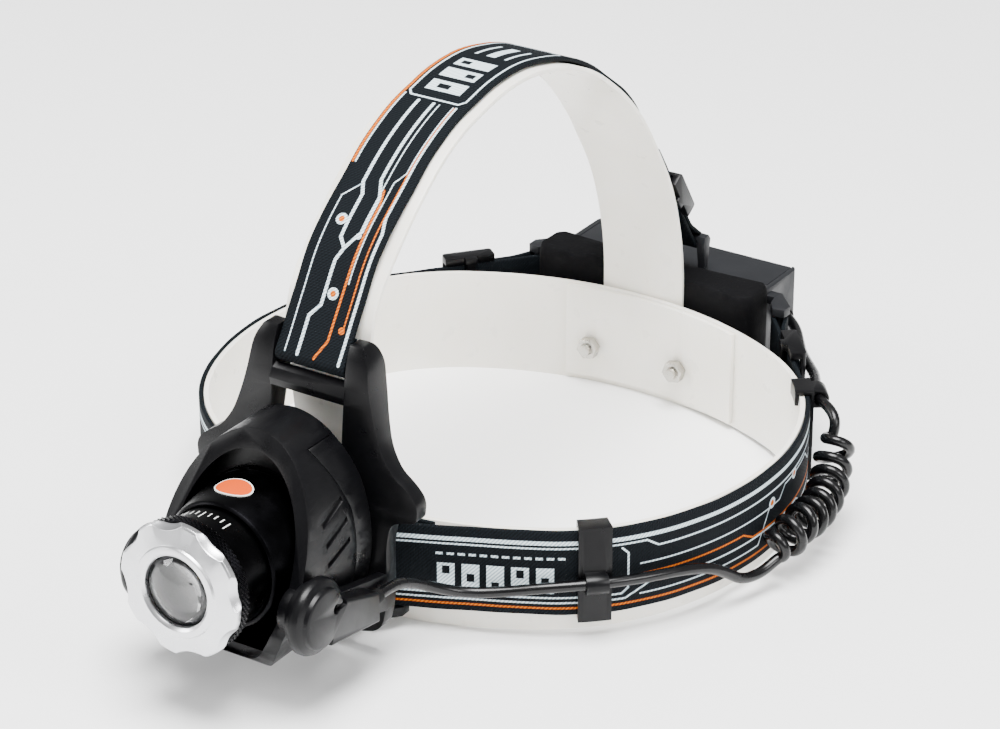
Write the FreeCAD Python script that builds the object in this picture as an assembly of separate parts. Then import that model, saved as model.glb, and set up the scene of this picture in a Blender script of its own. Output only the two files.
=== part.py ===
import FreeCAD, Part
import math
import os

V = FreeCAD.Vector

# ------------------------------------------------------------------ driving sizes (mm)
hoop_half_width = 98.3        # half of the head former from temple to temple, outside
hoop_half_depth = 88.4        # half of the head former from forehead to back, outside
hoop_corner_r = 70.0          # tighter bends between the flatter front, side and back arcs
hoop_height = 36.8
hoop_wall = 1.6
hoop_near_rise = 3.6          # how far the lower edge climbs towards the cord side
lap_from_x = -27.0            # the overlapping end of the hoop, inside the back
lap_to_x = 42.0
former_width = 31.3           # white crown strip
crown_apex_z = 153.1
crown_base_z = 10.0

strap_width = 29.0
strap_thick = 1.4
crown_strap_width = 25.0
strap_gap = 0.3               # between a strap and what it lies on
wrap_gap = 0.15               # between a strap and the bar that it goes round
bar_r = 1.4                   # bars and rods that the straps go round

bolt_x = 17.2
bolt_z = 14.5
bolt_r = 2.0
nut_flats = 7.0

bezel_r = 21.1
sleeve_r = 18.4
sleeve_wall = 2.2
lens_r = 12.5
lamp_up = 2.9                 # degrees that the lamp looks up at rest
lamp_rise = 9.7               # lamp axis above the hinge axis
shell_half_width = 26.0
shell_half_height = 36.7
shell_wall = 2.4
hinge_z = 35.0
hinge_reach = 60.6            # hinge axis in front of the hoop
pin_r = 4.0
pin_running = 0.05

cell_r = 9.2
cell_length = 65.0
case_wall = 2.0
cord_r = 1.75
coil_r = 7.0

# ------------------------------------------------------------------ derived places
strap_top = hoop_height + 0.2
strap_low = strap_top - strap_width
wrap_r = bar_r + wrap_gap + strap_thick / 2
strap_off = strap_gap + strap_thick / 2
front = -hoop_half_depth
hinge_y = front - hinge_reach
plate_back = front - 17.1     # rear face of the bracket's plate
plate_front = plate_back - 5.0
case_front = hoop_half_depth + 15.4
case_height = 4 * cell_r + 0.2 + 2 * case_wall
case_low = 1.0
case_high = case_low + case_height
case_depth = 2 * cell_r + 0.8 + 2 * case_wall
case_back = case_front + case_depth
cell_y = case_front + case_wall + 0.4 + cell_r
case_half = cell_length / 2 + 7.5
crown_half = hoop_half_depth + 20.4
crown_mid = -14.25


# ------------------------------------------------------------------ small shape helpers
def box(x0, x1, y0, y1, z0, z1):
    return Part.makeBox(x1 - x0, y1 - y0, z1 - z0, V(x0, y0, z0))


def rod(r, length, start, axis):
    return Part.makeCylinder(r, length, V(*start), V(*axis))


def tube(r_out, r_in, length, start, axis):
    return rod(r_out, length, start, axis).cut(rod(r_in, length, start, axis))


def plane_solid(points, axis, low, high):
    """A polygon in the plane across axis ('x', 'y' or 'z'), drawn out from low to high."""
    place = {"x": lambda a, b: V(low, a, b), "y": lambda a, b: V(a, low, b), "z": lambda a, b: V(a, b, low)}
    way = {"x": V(1, 0, 0), "y": V(0, 1, 0), "z": V(0, 0, 1)}
    ring = [place[axis](a, b) for a, b in points]
    face = Part.Face(Part.makePolygon(ring + ring[:1]))
    return face.extrude(way[axis] * (high - low))


def turned(profile):
    """A closed (radius, height) profile turned once round Z."""
    ring = [V(r, 0, h) for r, h in profile]
    face = Part.Face(Part.makePolygon(ring + ring[:1]))
    return face.revolve(V(0, 0, 0), V(0, 0, 1), 360)


def joined(first, *others):
    return first.fuse(list(others)).removeSplitter()


def mirrored(shape):
    return shape.mirror(V(0, 0, 0), V(1, 0, 0))


def ellipse_bar(half_w, half_h, mid_z, y0, y1):
    """A solid of elliptical section that runs along Y."""
    major, minor = (half_h, half_w) if half_h > half_w else (half_w, half_h)
    ring = Part.Ellipse(V(0, 0, 0), major, minor).toShape()
    if half_h > half_w:
        ring.rotate(V(0, 0, 0), V(0, 0, 1), 90)
    ring.rotate(V(0, 0, 0), V(1, 0, 0), 90)
    ring.translate(V(0, y0, mid_z))
    return Part.Face(Part.Wire(ring)).extrude(V(0, y1 - y0, 0))


# ------------------------------------------------------------------ flat paths of lines and arcs
def unit(a):
    size = math.hypot(*a)
    return (a[0] / size, a[1] / size)


def line(p, q):
    return ("line", p, q)


def arc(c, r, a0, a1):
    """Arc about c from angle a0 to a1 in degrees, anticlockwise when a1 > a0."""
    return ("arc", c, r, a0, a1)


def arc_point(c, r, a):
    return (c[0] + r * math.cos(math.radians(a)), c[1] + r * math.sin(math.radians(a)))


def rounded_route(points, radii):
    """Straight runs between the points, joined at each inner point by a tangent arc."""
    made, at = [], points[0]
    for before, corner, after, r in zip(points, points[1:], points[2:], radii):
        d0 = unit((corner[0] - before[0], corner[1] - before[1]))
        d1 = unit((after[0] - corner[0], after[1] - corner[1]))
        turn = math.atan2(d0[0] * d1[1] - d0[1] * d1[0], d0[0] * d1[0] + d0[1] * d1[1])
        cut = r * math.tan(abs(turn) / 2)
        side = 1 if turn > 0 else -1
        start = (corner[0] - d0[0] * cut, corner[1] - d0[1] * cut)
        mid = (start[0] - side * d0[1] * r, start[1] + side * d0[0] * r)
        a0 = math.degrees(math.atan2(start[1] - mid[1], start[0] - mid[0]))
        made += [line(at, start), arc(mid, r, a0, a0 + math.degrees(turn))]
        at = arc_point(mid, r, a0 + math.degrees(turn))
    return made + [line(at, points[-1])]


def shifted(piece, off):
    """The same piece moved off to its left by the given distance."""
    if piece[0] == "line":
        _, p, q = piece
        d = unit((q[0] - p[0], q[1] - p[1]))
        n = (-d[1] * off, d[0] * off)
        return line((p[0] + n[0], p[1] + n[1]), (q[0] + n[0], q[1] + n[1]))
    _, c, r, a0, a1 = piece
    return arc(c, r - off if a1 > a0 else r + off, a0, a1)


def flipped(piece):
    if piece[0] == "line":
        return line(piece[2], piece[1])
    return arc(piece[1], piece[2], piece[4], piece[3])


def ends(piece):
    if piece[0] == "line":
        return piece[1], piece[2]
    _, c, r, a0, a1 = piece
    return arc_point(c, r, a0), arc_point(c, r, a1)


def edge_of(piece, lift):
    p, q = ends(piece)
    if piece[0] == "line":
        return Part.LineSegment(lift(p), lift(q)).toShape()
    _, c, r, a0, a1 = piece
    return Part.Arc(lift(p), lift(arc_point(c, r, (a0 + a1) / 2)), lift(q)).toShape()


def ribbon(path, thick, low, high, upright=False):
    """A strip of the given thickness along a flat path: in plan (drawn out along Z between
    low and high), or upright in the Y-Z plane (drawn out along X)."""
    def lift(p):
        return V(low, p[0], p[1]) if upright else V(p[0], p[1], low)
    left = [shifted(piece, thick / 2) for piece in path]
    right = [flipped(shifted(piece, -thick / 2)) for piece in reversed(path)]
    caps = [line(ends(left[-1])[1], ends(right[0])[0]), line(ends(right[-1])[1], ends(left[0])[0])]
    ring = [edge_of(p, lift) for p in left + caps[:1] + right + caps[1:]]
    face = Part.Face(Part.Wire(ring))
    return face.extrude(V(high - low, 0, 0) if upright else V(0, 0, high - low))


def tangent_normal(c, r, b, s, side):
    """Unit normal n of the line that touches circle (c, r) and circle (b, s); s is negative
    when the second circle is on the line's far side."""
    dx, dy = b[0] - c[0], b[1] - c[1]
    reach = math.hypot(dx, dy)
    a = math.atan2(dy, dx) + side * math.acos((r - s) / reach)
    return (math.cos(a), math.sin(a))


# ------------------------------------------------------------------ plan of the hoop
corner_from, corner_to = 25.0, 60.0      # degrees between which a quarter is tight
s0, c0 = math.sin(math.radians(corner_from)), math.cos(math.radians(corner_from))
s1, c1 = math.sin(math.radians(corner_to)), math.cos(math.radians(corner_to))
right_a = hoop_half_width + hoop_corner_r * (c1 - c0)
right_b = hoop_half_depth - hoop_corner_r * (s1 - s0)
det = c1 * s0 - (1 - c0) * (1 - s1)
end_r = (right_a * s0 - (1 - c0) * right_b) / det      # front and back arcs
side_r = (c1 * right_b - (1 - s1) * right_a) / det     # arcs at the temples
end_mid = hoop_half_depth - end_r                      # back arc's centre, on Y
side_mid = hoop_half_width - side_r                    # right arc's centre, on X
corner_mid = ((end_r - hoop_corner_r) * c1, end_mid + (end_r - hoop_corner_r) * s1)


def hoop_path(off, start=-90.0, stop=270.0):
    """The hoop's outline, moved outwards by off, in anticlockwise arcs from the forehead."""
    cx, cy = corner_mid
    arcs = [(-90, -60, (0, -end_mid), end_r), (-60, -25, (cx, -cy), hoop_corner_r),
            (-25, 25, (side_mid, 0), side_r), (25, 60, (cx, cy), hoop_corner_r),
            (60, 120, (0, end_mid), end_r), (120, 155, (-cx, cy), hoop_corner_r),
            (155, 205, (-side_mid, 0), side_r), (205, 240, (-cx, -cy), hoop_corner_r),
            (240, 270, (0, -end_mid), end_r)]
    made = []
    for a0, a1, mid, r in arcs:
        low, high = max(a0, start), min(a1, stop)
        if high > low:
            made.append(arc(mid, r + off, low, high))
    return made


def closed_ring(path, low, high):
    ring = [edge_of(piece, lambda p: V(p[0], p[1], low)) for piece in path]
    return Part.Face(Part.Wire(ring)).extrude(V(0, 0, high - low))


# ------------------------------------------------------------------ head former
def hoop_band():
    band = closed_ring(hoop_path(0), 0, hoop_height).cut(closed_ring(hoop_path(-hoop_wall), -1,
                                                                     hoop_height + 1))
    wedge = plane_solid([(10, -1), (10, 0), (hoop_half_width + 2, hoop_near_rise), (hoop_half_width + 2, -1)],
                        "y", -hoop_half_depth - 5, hoop_half_depth + 5)
    return band.cut(wedge).cut(bolt_shanks(bolt_r + 0.05))


def lap_angle(x):
    return 90 - math.degrees(math.asin(x / (end_r - hoop_wall)))


def hoop_lap():
    path = hoop_path(-hoop_wall - 0.1 - hoop_wall / 2, lap_angle(lap_to_x), lap_angle(lap_from_x))
    lap = ribbon(path, hoop_wall, 2.4, hoop_height - 0.6)
    return lap.cut(bolt_shanks(bolt_r + 0.05))


def bolt_seat_y(off):
    return end_mid + math.sqrt((end_r + off) ** 2 - bolt_x ** 2)


bolt_in = 9.0                 # how far the bolt ends stand inside the hoop's outer face


def bolt_shanks(r):
    y0 = bolt_seat_y(0) - bolt_in
    return joined(*[rod(r, bolt_in + 0.6, (x, y0, bolt_z), (0, 1, 0)) for x in (-bolt_x, bolt_x)])


def hoop_bolts():
    heads = [rod(3.5, 1.5, (x, bolt_seat_y(0) + 0.55, bolt_z), (0, 1, 0)) for x in (-bolt_x, bolt_x)]
    return joined(bolt_shanks(bolt_r), *heads)


def hoop_nuts():
    r = nut_flats / 2 / math.cos(math.radians(30))
    seat = end_mid + math.sqrt((end_r - 2 * hoop_wall - 0.1) ** 2 - (bolt_x + r) ** 2) - 0.05
    made = []
    for x in (-bolt_x, bolt_x):
        hexagon = [(x + r * math.cos(math.radians(60 * k + 12)),
                    bolt_z + r * math.sin(math.radians(60 * k + 12)))
                   for k in range(6)]
        nut = plane_solid(hexagon, "y", seat - 3.2, seat)
        made.append(nut.cut(rod(bolt_r + 0.02, 6, (x, seat - 4, bolt_z), (0, 1, 0))))
    return Part.makeCompound(made)


def crown_corner(t0, t1, off):
    """Where the crown ellipse's tangents at angles t0 and t1 from the front meet."""
    mid, half = math.radians((t0 + t1) / 2), math.radians((t1 - t0) / 2)
    a, b = crown_half + off, crown_apex_z - crown_base_z + off
    return (crown_mid - a * math.cos(mid) / math.cos(half), crown_base_z + b * math.sin(mid) / math.cos(half))


def crown_touch(t, off):
    """Point and upward direction of the crown ellipse at angle t from the front."""
    a, b = crown_half + off, crown_apex_z - crown_base_z + off
    s, c = math.sin(math.radians(t)), math.cos(math.radians(t))
    return (crown_mid - a * c, crown_base_z + b * s), unit((a * s, b * c))


def own_radii(points):
    """The largest tangent arcs that the runs beside each inner point allow."""
    radii = []
    for before, corner, after in zip(points, points[1:], points[2:]):
        d0 = unit((corner[0] - before[0], corner[1] - before[1]))
        d1 = unit((after[0] - corner[0], after[1] - corner[1]))
        turn = abs(math.atan2(d0[0] * d1[1] - d0[1] * d1[0], d0[0] * d1[0] + d0[1] * d1[1]))
        run = min(math.dist(before, corner), math.dist(corner, after))
        radii.append(0.45 * run / math.tan(turn / 2))
    return radii


crown_steps = [40, 60, 80, 100, 120, 140]


def crown_strip():
    lie = hoop_half_depth + 0.3 + hoop_wall / 2
    top = [crown_corner(a, b, 0) for a, b in zip(crown_steps[1:], crown_steps[2:])]
    leave, way = crown_touch(50, 0)
    brow = (leave[0] - way[0] * 21, leave[1] - way[1] * 21)
    back_touch, back_way = crown_touch(160, 0)
    nape_z = back_touch[1] + (lie - back_touch[0]) / back_way[0] * back_way[1]
    points = [(-lie, strap_low), (-lie, 44), brow, crown_corner(50, 60, 0)] + top
    points += [crown_corner(140, 160, 0), (lie, nape_z), (lie, 20)]
    return ribbon(rounded_route(points, own_radii(points)), hoop_wall, -former_width / 2, former_width / 2,
                  True)


# ------------------------------------------------------------------ straps
front_bar = (19.6, front - 1.95)                      # strap bar of the bracket, cord side
rear_bar = (case_half + 8.5, case_front - 5.3)        # strap bar of the battery case, cord side


def looped(leave, bar_touch, bar_mid, *tail):
    """A strap's path from leave straight to a bar, round it and on through the tail's points."""
    way = (bar_touch[0] - leave[0], bar_touch[1] - leave[1])
    across = (bar_mid[0] - bar_touch[0], bar_mid[1] - bar_touch[1])
    turn = 1 if way[0] * across[1] - way[1] * across[0] > 0 else -1
    reach = math.dist(bar_mid, tail[0])
    a0 = math.degrees(math.atan2(-across[1], -across[0]))
    a1 = math.degrees(math.atan2(tail[0][1] - bar_mid[1], tail[0][0] - bar_mid[0])
                      - turn * math.acos(wrap_r / reach))
    a1 = a0 + turn * ((turn * (a1 - a0)) % 360)
    off = arc_point(bar_mid, wrap_r, a1)
    rest = [line(off, tail[0])]
    if len(tail) > 1:
        rest = rounded_route([off, *tail], [lay_bend] * (len(tail) - 1))
    return [line(leave, bar_touch), arc(bar_mid, wrap_r, a0, a1)] + rest


def step(start, way, far, normal, out):
    return (start[0] + way[0] * far + normal[0] * out, start[1] + way[1] * far + normal[1] * out)


lay_bend = 12.0               # how gently a loose layer bends to lie on the one below
sewn_layer = strap_thick + 0.15
loose_layer = strap_thick + 0.2


def main_strap():
    """Strap on the cord side: sewn round the bracket's bar, along the hoop, round the battery
    case's bar and back through the adjuster."""
    ring = end_r + strap_off
    n = tangent_normal((0, -end_mid), ring, front_bar, wrap_r, 1)
    touch = (ring * n[0], ring * n[1] - end_mid)
    bar_touch = (front_bar[0] + wrap_r * n[0], front_bar[1] + wrap_r * n[1])
    sewn_end = step(bar_touch, unit((touch[0] - bar_touch[0], touch[1] - bar_touch[1])), 11.5, n, -sewn_layer)
    path = [flipped(piece) for piece in reversed(looped(touch, bar_touch, front_bar, sewn_end))]
    start = math.degrees(math.atan2(n[1], n[0]))

    leave, d, n, length = side_run()
    bar_touch = step(leave, d, length, n, 0)
    path += hoop_path(strap_off, start, math.degrees(math.atan2(n[1], n[0])))
    lay, tip = step(bar_touch, d, -9, n, loose_layer), step(bar_touch, d, -34, n, loose_layer)
    path += looped(leave, bar_touch, rear_bar, lay, tip)
    return ribbon(path, strap_thick, strap_low, strap_top)


def side_run():
    """Start, direction and outward normal of the straight strap between hoop and battery."""
    ring = hoop_corner_r + strap_off
    n = tangent_normal(corner_mid, ring, rear_bar, -wrap_r, -1)
    leave = (corner_mid[0] + ring * n[0], corner_mid[1] + ring * n[1])
    bar_touch = (rear_bar[0] - wrap_r * n[0], rear_bar[1] - wrap_r * n[1])
    return leave, unit((bar_touch[0] - leave[0], bar_touch[1] - leave[1])), n, math.dist(leave, bar_touch)


crown_off = hoop_wall / 2 + strap_off + 0.4
crown_front_run = 12.5
crown_back_run = 60.0


def crown_rods():
    """Touching points and rod centres at the strap's two ends, in (y, z)."""
    q, way = crown_touch(40, crown_off)
    inward = (way[1], -way[0])
    end_f = (q[0] - way[0] * crown_front_run, q[1] - way[1] * crown_front_run)
    rod_f = (end_f[0] + inward[0] * wrap_r, end_f[1] + inward[1] * wrap_r)
    q2, way2 = crown_touch(140, crown_off)
    outward = (-way2[1], way2[0])
    end_b = (q2[0] + way2[0] * crown_back_run, q2[1] + way2[1] * crown_back_run)
    rod_b = (end_b[0] + outward[0] * wrap_r, end_b[1] + outward[1] * wrap_r)
    return (q, way, inward, end_f, rod_f), (q2, way2, outward, end_b, rod_b)


def crown_strap():
    """Crown strap: sewn round the bracket's top rod, over the head, round the battery case's
    top rod and back through its adjuster."""
    (q, way, inward, end_f, rod_f), (q2, way2, outward, end_b, rod_b) = crown_rods()
    sewn_end = step(end_f, way, 9, inward, sewn_layer)
    path = [flipped(piece) for piece in reversed(looped(q, end_f, rod_f, sewn_end))]
    corners = [crown_corner(a, b, crown_off) for a, b in zip(crown_steps, crown_steps[1:])]
    over = [q] + corners + [q2]
    path += rounded_route(over, own_radii(over))
    lay, tip = step(end_b, way2, -9, outward, loose_layer), step(end_b, way2, -52, outward, loose_layer)
    path += looped(q2, end_b, rod_b, lay, tip)
    half = crown_strap_width / 2
    return ribbon(path, strap_thick, -half, half, True)


# ------------------------------------------------------------------ slide adjusters
slide_half = 9.0


def adjuster(width):
    """Slide buckle about its own centre: u along the strap, v away from the head, w across."""
    reach = width / 2 + 0.5
    inner, outer = -(strap_thick / 2 + 0.3), strap_thick * 1.5 + 0.2 + 0.3
    rails = [box(-slide_half, slide_half, inner, outer + 1.8, s * reach, s * reach + 2.6 * s) if s > 0 else
             box(-slide_half, slide_half, inner, outer + 1.8, s * reach - 2.6, s * reach) for s in (-1, 1)]
    drops = [box(-2.2, 2.2, inner - 1.7, inner, min(s * reach, s * reach + 2.6 * s),
                 max(s * reach, s * reach + 2.6 * s)) for s in (-1, 1)]
    bars = [box(u - 1.6, u + 1.6, outer, outer + 1.8, -reach, reach)
            for u in (-slide_half + 1.6, slide_half - 1.6)]
    middle = box(-1.6, 1.6, inner - 1.7, inner, -reach, reach)
    body = joined(rails[0], rails[1], *drops, *bars, middle)
    long_edges = [e for e in body.Edges if abs(e.Vertexes[0].Y - outer - 1.8) < 1e-6
                  and abs(e.Vertexes[-1].Y - outer - 1.8) < 1e-6
                  and abs(abs(e.CenterOfMass.x) - slide_half) < 1e-6]
    return body.makeFillet(1.2, long_edges)


def set_on(shape, at, along, away):
    """Puts a shape drawn in (u, v, w) at a point, with u along and v away."""
    across = along.cross(away)
    m = FreeCAD.Matrix(along.x, away.x, across.x, at.x, along.y, away.y, across.y, at.y,
                       along.z, away.z, across.z, at.z, 0, 0, 0, 1)
    made = shape.copy()
    made.Placement = FreeCAD.Placement(m)
    return made


side_slide_at = 26.0          # adjuster's centre from where the strap leaves the hoop
crown_slide_at = 32.0


def side_adjuster():
    leave, d, n, _ = side_run()
    at = V(leave[0] + d[0] * side_slide_at, leave[1] + d[1] * side_slide_at, (strap_low + strap_top) / 2)
    return set_on(adjuster(strap_width), at, V(d[0], d[1], 0), V(n[0], n[1], 0))


def crown_adjuster():
    _, (q2, way2, outward, _, _) = crown_rods()
    at = V(0, q2[0] + way2[0] * crown_slide_at, q2[1] + way2[1] * crown_slide_at)
    return set_on(adjuster(crown_strap_width), at, V(0, way2[0], way2[1]), V(0, outward[0], outward[1]))


# ------------------------------------------------------------------ front bracket
ear_in = crown_strap_width / 2 + 0.6    # half the window between the ears
arm_in = shell_half_width + 0.3
arm_out = arm_in + 3.0
lug_low = (strap_low - 3.4, strap_low - 0.4)
lug_high = (strap_top + 0.4, strap_top + 3.4)


def soft_outline(points, axis, low, high):
    """A polygon with every corner rounded as far as its sides allow, drawn out from low to high."""
    start = ((points[0][0] + points[-1][0]) / 2, (points[0][1] + points[-1][1]) / 2)
    loop = [start] + points + [start]
    ring = [edge_of(piece, lambda p: V(p[0], low, p[1]) if axis == "y" else V(low, p[0], p[1]))
            for piece in rounded_route(loop, own_radii(loop))]
    return Part.Face(Part.Wire(ring)).extrude(V(0, high - low, 0) if axis == "y" else V(high - low, 0, 0))


def front_bracket():
    tip = ear_in + 4.4
    half = [(18, 7), (27, 9.5), (arm_out, 20), (arm_out, 40), (31, 47.6), (36, 49.4), (40.2, 50.2),
            (40.6, 56.5), (36.5, 60.4), (31.5, 63.4), (27, 69.5), (24, 78), (21.8, 87), (20.6, 95),
            (tip, 100.4), (ear_in + 0.6, 99.6)]
    right = soft_outline([(0, 7)] + half + [(0, 99)], "y", front - 40, front)
    window = box(-ear_in, ear_in, front - 45, front + 5, 52, 110)
    side = [(plate_front, 6), (plate_front, 60), (front - 18.9, 90), (front - 17.4, 96), (front - 15.4,
        100.2),
            (front - 12.4, 101), (front - 9.6, 98.6), (front - 8.8, 94), (front - 9.6, 86), (plate_back, 60),
            (plate_back, 6)]
    outline = right.common(box(0, 60, front - 45, front + 5, 0, 120))
    plate = joined(outline, mirrored(outline)).cut(window).common(soft_outline(side, "x", -50, 50))
    spine = box(-15, 15, plate_back - 0.5, front - 8, strap_low - 0.4, 50)
    spine = spine.cut(box(-12.5, 12.5, plate_back + 2, front - 7, strap_low + 3, 47))
    cross = [(front - 19.9, 81.5), (front - 20.4, 84), (front - 19.2, 87), (front - 17.1, 88.2),
             (front - 15.6, 87.5), (front - 15.8, 82), (front - 17.6, 80.6)]
    crossbar = plane_solid(cross, "x", -ear_in - 0.4, ear_in + 0.4)
    (_, _, _, _, top_rod), _ = crown_rods()
    rod_bar = rod(bar_r, 2 * ear_in + 0.8, (-ear_in - 0.4, top_rod[0], top_rod[1]), (1, 0, 0))
    lug = [(13, front - 11.1), (17.5, front - 10.1), (22.4, front - 4), (22.4, front - 0.2),
           (front_bar[0] - 1.7, front - 0.2), (16.2, front - 2.8), (14.8, front - 8.1), (13, front - 8.3)]
    parts = [spine, crossbar, rod_bar]
    for make in (lambda shape: shape, mirrored):
        for low, high in (lug_low, lug_high):
            parts.append(make(plane_solid(lug, "z", low, high)))
        parts.append(make(rod(bar_r, lug_high[1] - lug_low[0], (front_bar[0], front_bar[1], lug_low[0]), (0,
            0, 1))))
        parts.append(make(hinge_arm()))
    bracket = joined(plate, *parts)
    return bracket.cut(rod(pin_r, 2 * arm_out + 10, (-arm_out - 5, hinge_y, hinge_z), (1, 0, 0)))


def arm_outline(grow=0.0):
    y, z = hinge_y, hinge_z
    return [(y + 1, z + 9.4 + grow), (y + 12, z + 1 + grow), (plate_front + 0.5, z - 5 + grow),
            (plate_front + 0.5, z - 17.5), (y + 29, z - 14.6), (y, z - 9.4)]


def hinge_arm():
    eye = rod(9.5, arm_out - arm_in, (arm_in, hinge_y, hinge_z), (1, 0, 0))
    return joined(eye, plane_solid(arm_outline(), "x", arm_in, arm_out))


def bracket_pad():
    pad = box(-14.3, 14.3, front - 7.9, front - 0.3 - hoop_wall - 0.5, strap_low + 1, strap_top + 4)
    corners = [e for e in pad.Edges if abs(e.Vertexes[0].Y - e.Vertexes[-1].Y) > 1]
    return pad.makeFillet(4.0, corners)


def hinge_pin():
    """Hollow pivot pin of the cord side: it turns in the shell's wall, and its head is outside."""
    inner = shell_half_width - 4.0
    pin = joined(rod(pin_r, arm_out - inner, (inner, hinge_y, hinge_z), (1, 0, 0)),
                 rod(6.0, 1.6, (arm_out, hinge_y, hinge_z), (1, 0, 0)))
    return pin.cut(rod(2.2, 20, (inner - 1, hinge_y, hinge_z), (1, 0, 0)))


cap_r = 12.0
cap_high = 3.7


def hinge_cap():
    """Domed cover of a pivot, hollow over the pin's head."""
    dome = turned([(6.3, 0), (cap_r, 0), (cap_r, 1.6), (cap_r - 0.5, 2.7), (cap_r - 1.6, 3.4), (9.6,
        cap_high),
                   (9.2, cap_high + 1.2), (8.4, cap_high + 1.6), (0, cap_high + 1.6), (0, 1.9), (6.3, 1.9)])
    dome.rotate(V(0, 0, 0), V(0, 1, 0), 90)
    dome.translate(V(arm_out, hinge_y, hinge_z))
    return dome


def keyhole(x):
    return joined(rod(1.7, 4, (x - 2.2, hinge_y + 5.5, hinge_z + 1.0), (1, 0, 0)),
                  box(x - 1.4, x + 2, hinge_y + 5.5, hinge_y + 10.5, hinge_z + 0.1, hinge_z + 1.9))


tail_end = hinge_y + 27.0
relief_length = 3.5
cord_exit = (arm_out + 2.7, tail_end + relief_length, hinge_z - 7.2)


def hinge_cap_right():
    """The cover on the cord side has a straight tail that leads the cord back."""
    y, z = hinge_y, hinge_z
    out = arm_out + cap_high + 1.6
    tail = plane_solid([(y + 4, z + 3.2), (y + 11.6, z + 1.2), (tail_end, z - 3.9), (tail_end, z - 14.2),
                        (y + 3, z - 10.4)], "x", arm_out + 0.05, out)
    long_edges = [e for e in tail.Edges if abs(e.Vertexes[0].X - out) < 1e-6
                  and abs(e.Vertexes[-1].X - out) < 1e-6
                  and e.Length > 15]
    tail = tail.makeFillet(1.0, long_edges)
    pocket = rod(6.3, 1.9, (arm_out, y, z), (1, 0, 0))
    return joined(hinge_cap(), tail.cut(pocket)).cut(keyhole(out))


def hinge_cap_left():
    cap = hinge_cap().cut(box(arm_out + cap_high + 0.6, arm_out + 9, hinge_y - 6, hinge_y + 6, hinge_z - 0.7,
                              hinge_z + 0.7))
    return mirrored(cap)


def strain_relief():
    x, y, z = cord_exit
    return Part.makeCone(2.55, 2.1, relief_length, V(x, tail_end, z), V(0, 1, 0))


# ------------------------------------------------------------------ tilting shell
shell_mid_z = hinge_z + 8.7
seam_gap = 0.25


def side_outline(points):
    return [(hinge_y + a, hinge_z + b) for a, b in points]


shell_side = [(16.5, 45.5), (-5, -3.5), (-6.6, -8), (-6.6, -12.5), (-5, -16.5), (-1.5, -21), (4, -25.5), (11,
    -29),
              (21, -30.5), (28, -25), (33.5, -17), (36, -10), (36, 28), (34, 45.5)]
mouth_side = [(20.5, 47), (-1, -3), (-2.8, -8), (-2.8, -12.5), (-1, -17.5), (3, -24), (3, -40), (-14, -40),
              (-14, 47)]
rear_zone = [(21.5, 52), (21.5, 42), (28, 21), (28, -42), (46, -42), (46, 52)]


def shell_inside(shrink=0.0):
    """The hollow of the shell."""
    wall = shell_wall + shrink
    ring = [V(0, a, b) for a, b in side_outline(shell_side)]
    outline = Part.Wire(Part.makePolygon(ring + ring[:1]))
    inner = outline.makeOffset2D(-wall - 0.2, 2)
    slab = Part.Face(inner).extrude(V(80, 0, 0))
    slab.translate(V(-40, 0, 0))
    core = ellipse_bar(shell_half_width - wall, shell_half_height - wall, shell_mid_z, hinge_y - 20,
                       hinge_y + 50)
    return core.common(slab)


def pivot_bosses():
    made = []
    for way in (1, -1):
        made.append(rod(7.0, 4.0, (way * (shell_half_width - 0.1 - 4.0), hinge_y, hinge_z), (way, 0, 0)))
    return made


def shell_body():
    outer = ellipse_bar(shell_half_width, shell_half_height, shell_mid_z, hinge_y - 20, hinge_y + 50)
    outer = outer.common(plane_solid(side_outline(shell_side), "x", -60, 60))
    mouth = ellipse_bar(shell_half_width - 4.2, shell_half_height - 5.2, shell_mid_z - 0.3, hinge_y - 20,
                        hinge_y + 50)
    mouth = mouth.common(plane_solid(side_outline(mouth_side), "x", -60, 60))
    body = outer.cut(shell_inside()).cut(mouth)
    body = joined(body, *pivot_bosses())
    return body.cut(rod(pin_r + pin_running, 80, (-40, hinge_y, hinge_z), (1, 0, 0)))


def slot_cuts():
    """Three slanted grooves on each cheek."""
    made = []
    for k in range(3):
        z = hinge_z + 21.5 - 6.4 * k
        groove = plane_solid([(hinge_y + 13.5, z - 0.9), (hinge_y + 25, z + 3.0), (hinge_y + 25, z + 4.8),
                              (hinge_y + 13.5, z + 0.9)], "x", -40, 40)
        made.append(groove)
    grown = ellipse_bar(shell_half_width + 2, shell_half_height + 2, shell_mid_z, hinge_y - 20, hinge_y + 50)
    core = ellipse_bar(shell_half_width - 0.9, shell_half_height - 0.9, shell_mid_z, hinge_y - 21,
                       hinge_y + 51)
    return Part.makeCompound(made).common(grown.cut(core))


def shell_rear_zone(shift, tongue):
    zone = plane_solid([(y + shift, z) for y, z in side_outline(rear_zone)], "x", -60, 60)
    return zone.cut(box(-tongue, tongue, hinge_y, hinge_y + 60, hinge_z + 27, hinge_z + 60))


def shell_front():
    return shell_body().cut(shell_rear_zone(-seam_gap, 13.5 - seam_gap)).cut(slot_cuts())


def shell_rear():
    rear = shell_body().common(shell_rear_zone(0, 13.5))
    vent = rod(2.5, 10, (0, hinge_y + 30, hinge_z + 2), (0, 1, 0))
    return rear.cut(vent)


# ------------------------------------------------------------------ lamp, drawn along +Z and laid over
def on_lamp(shape):
    """Takes a piece drawn along Z, with height 0 beside the hinge, to the lamp's axis."""
    up = math.radians(lamp_up)
    made = shape.copy()
    turn = FreeCAD.Rotation(V(0, 0, 1), V(0, -math.cos(up), math.sin(up)))
    made.Placement = FreeCAD.Placement(V(0, hinge_y, hinge_z + lamp_rise), turn)
    return made


collar_in = sleeve_r + 0.25
collar_out = sleeve_r + 3.9
screw_ring = 9.8
led_seat = -6.0


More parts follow.
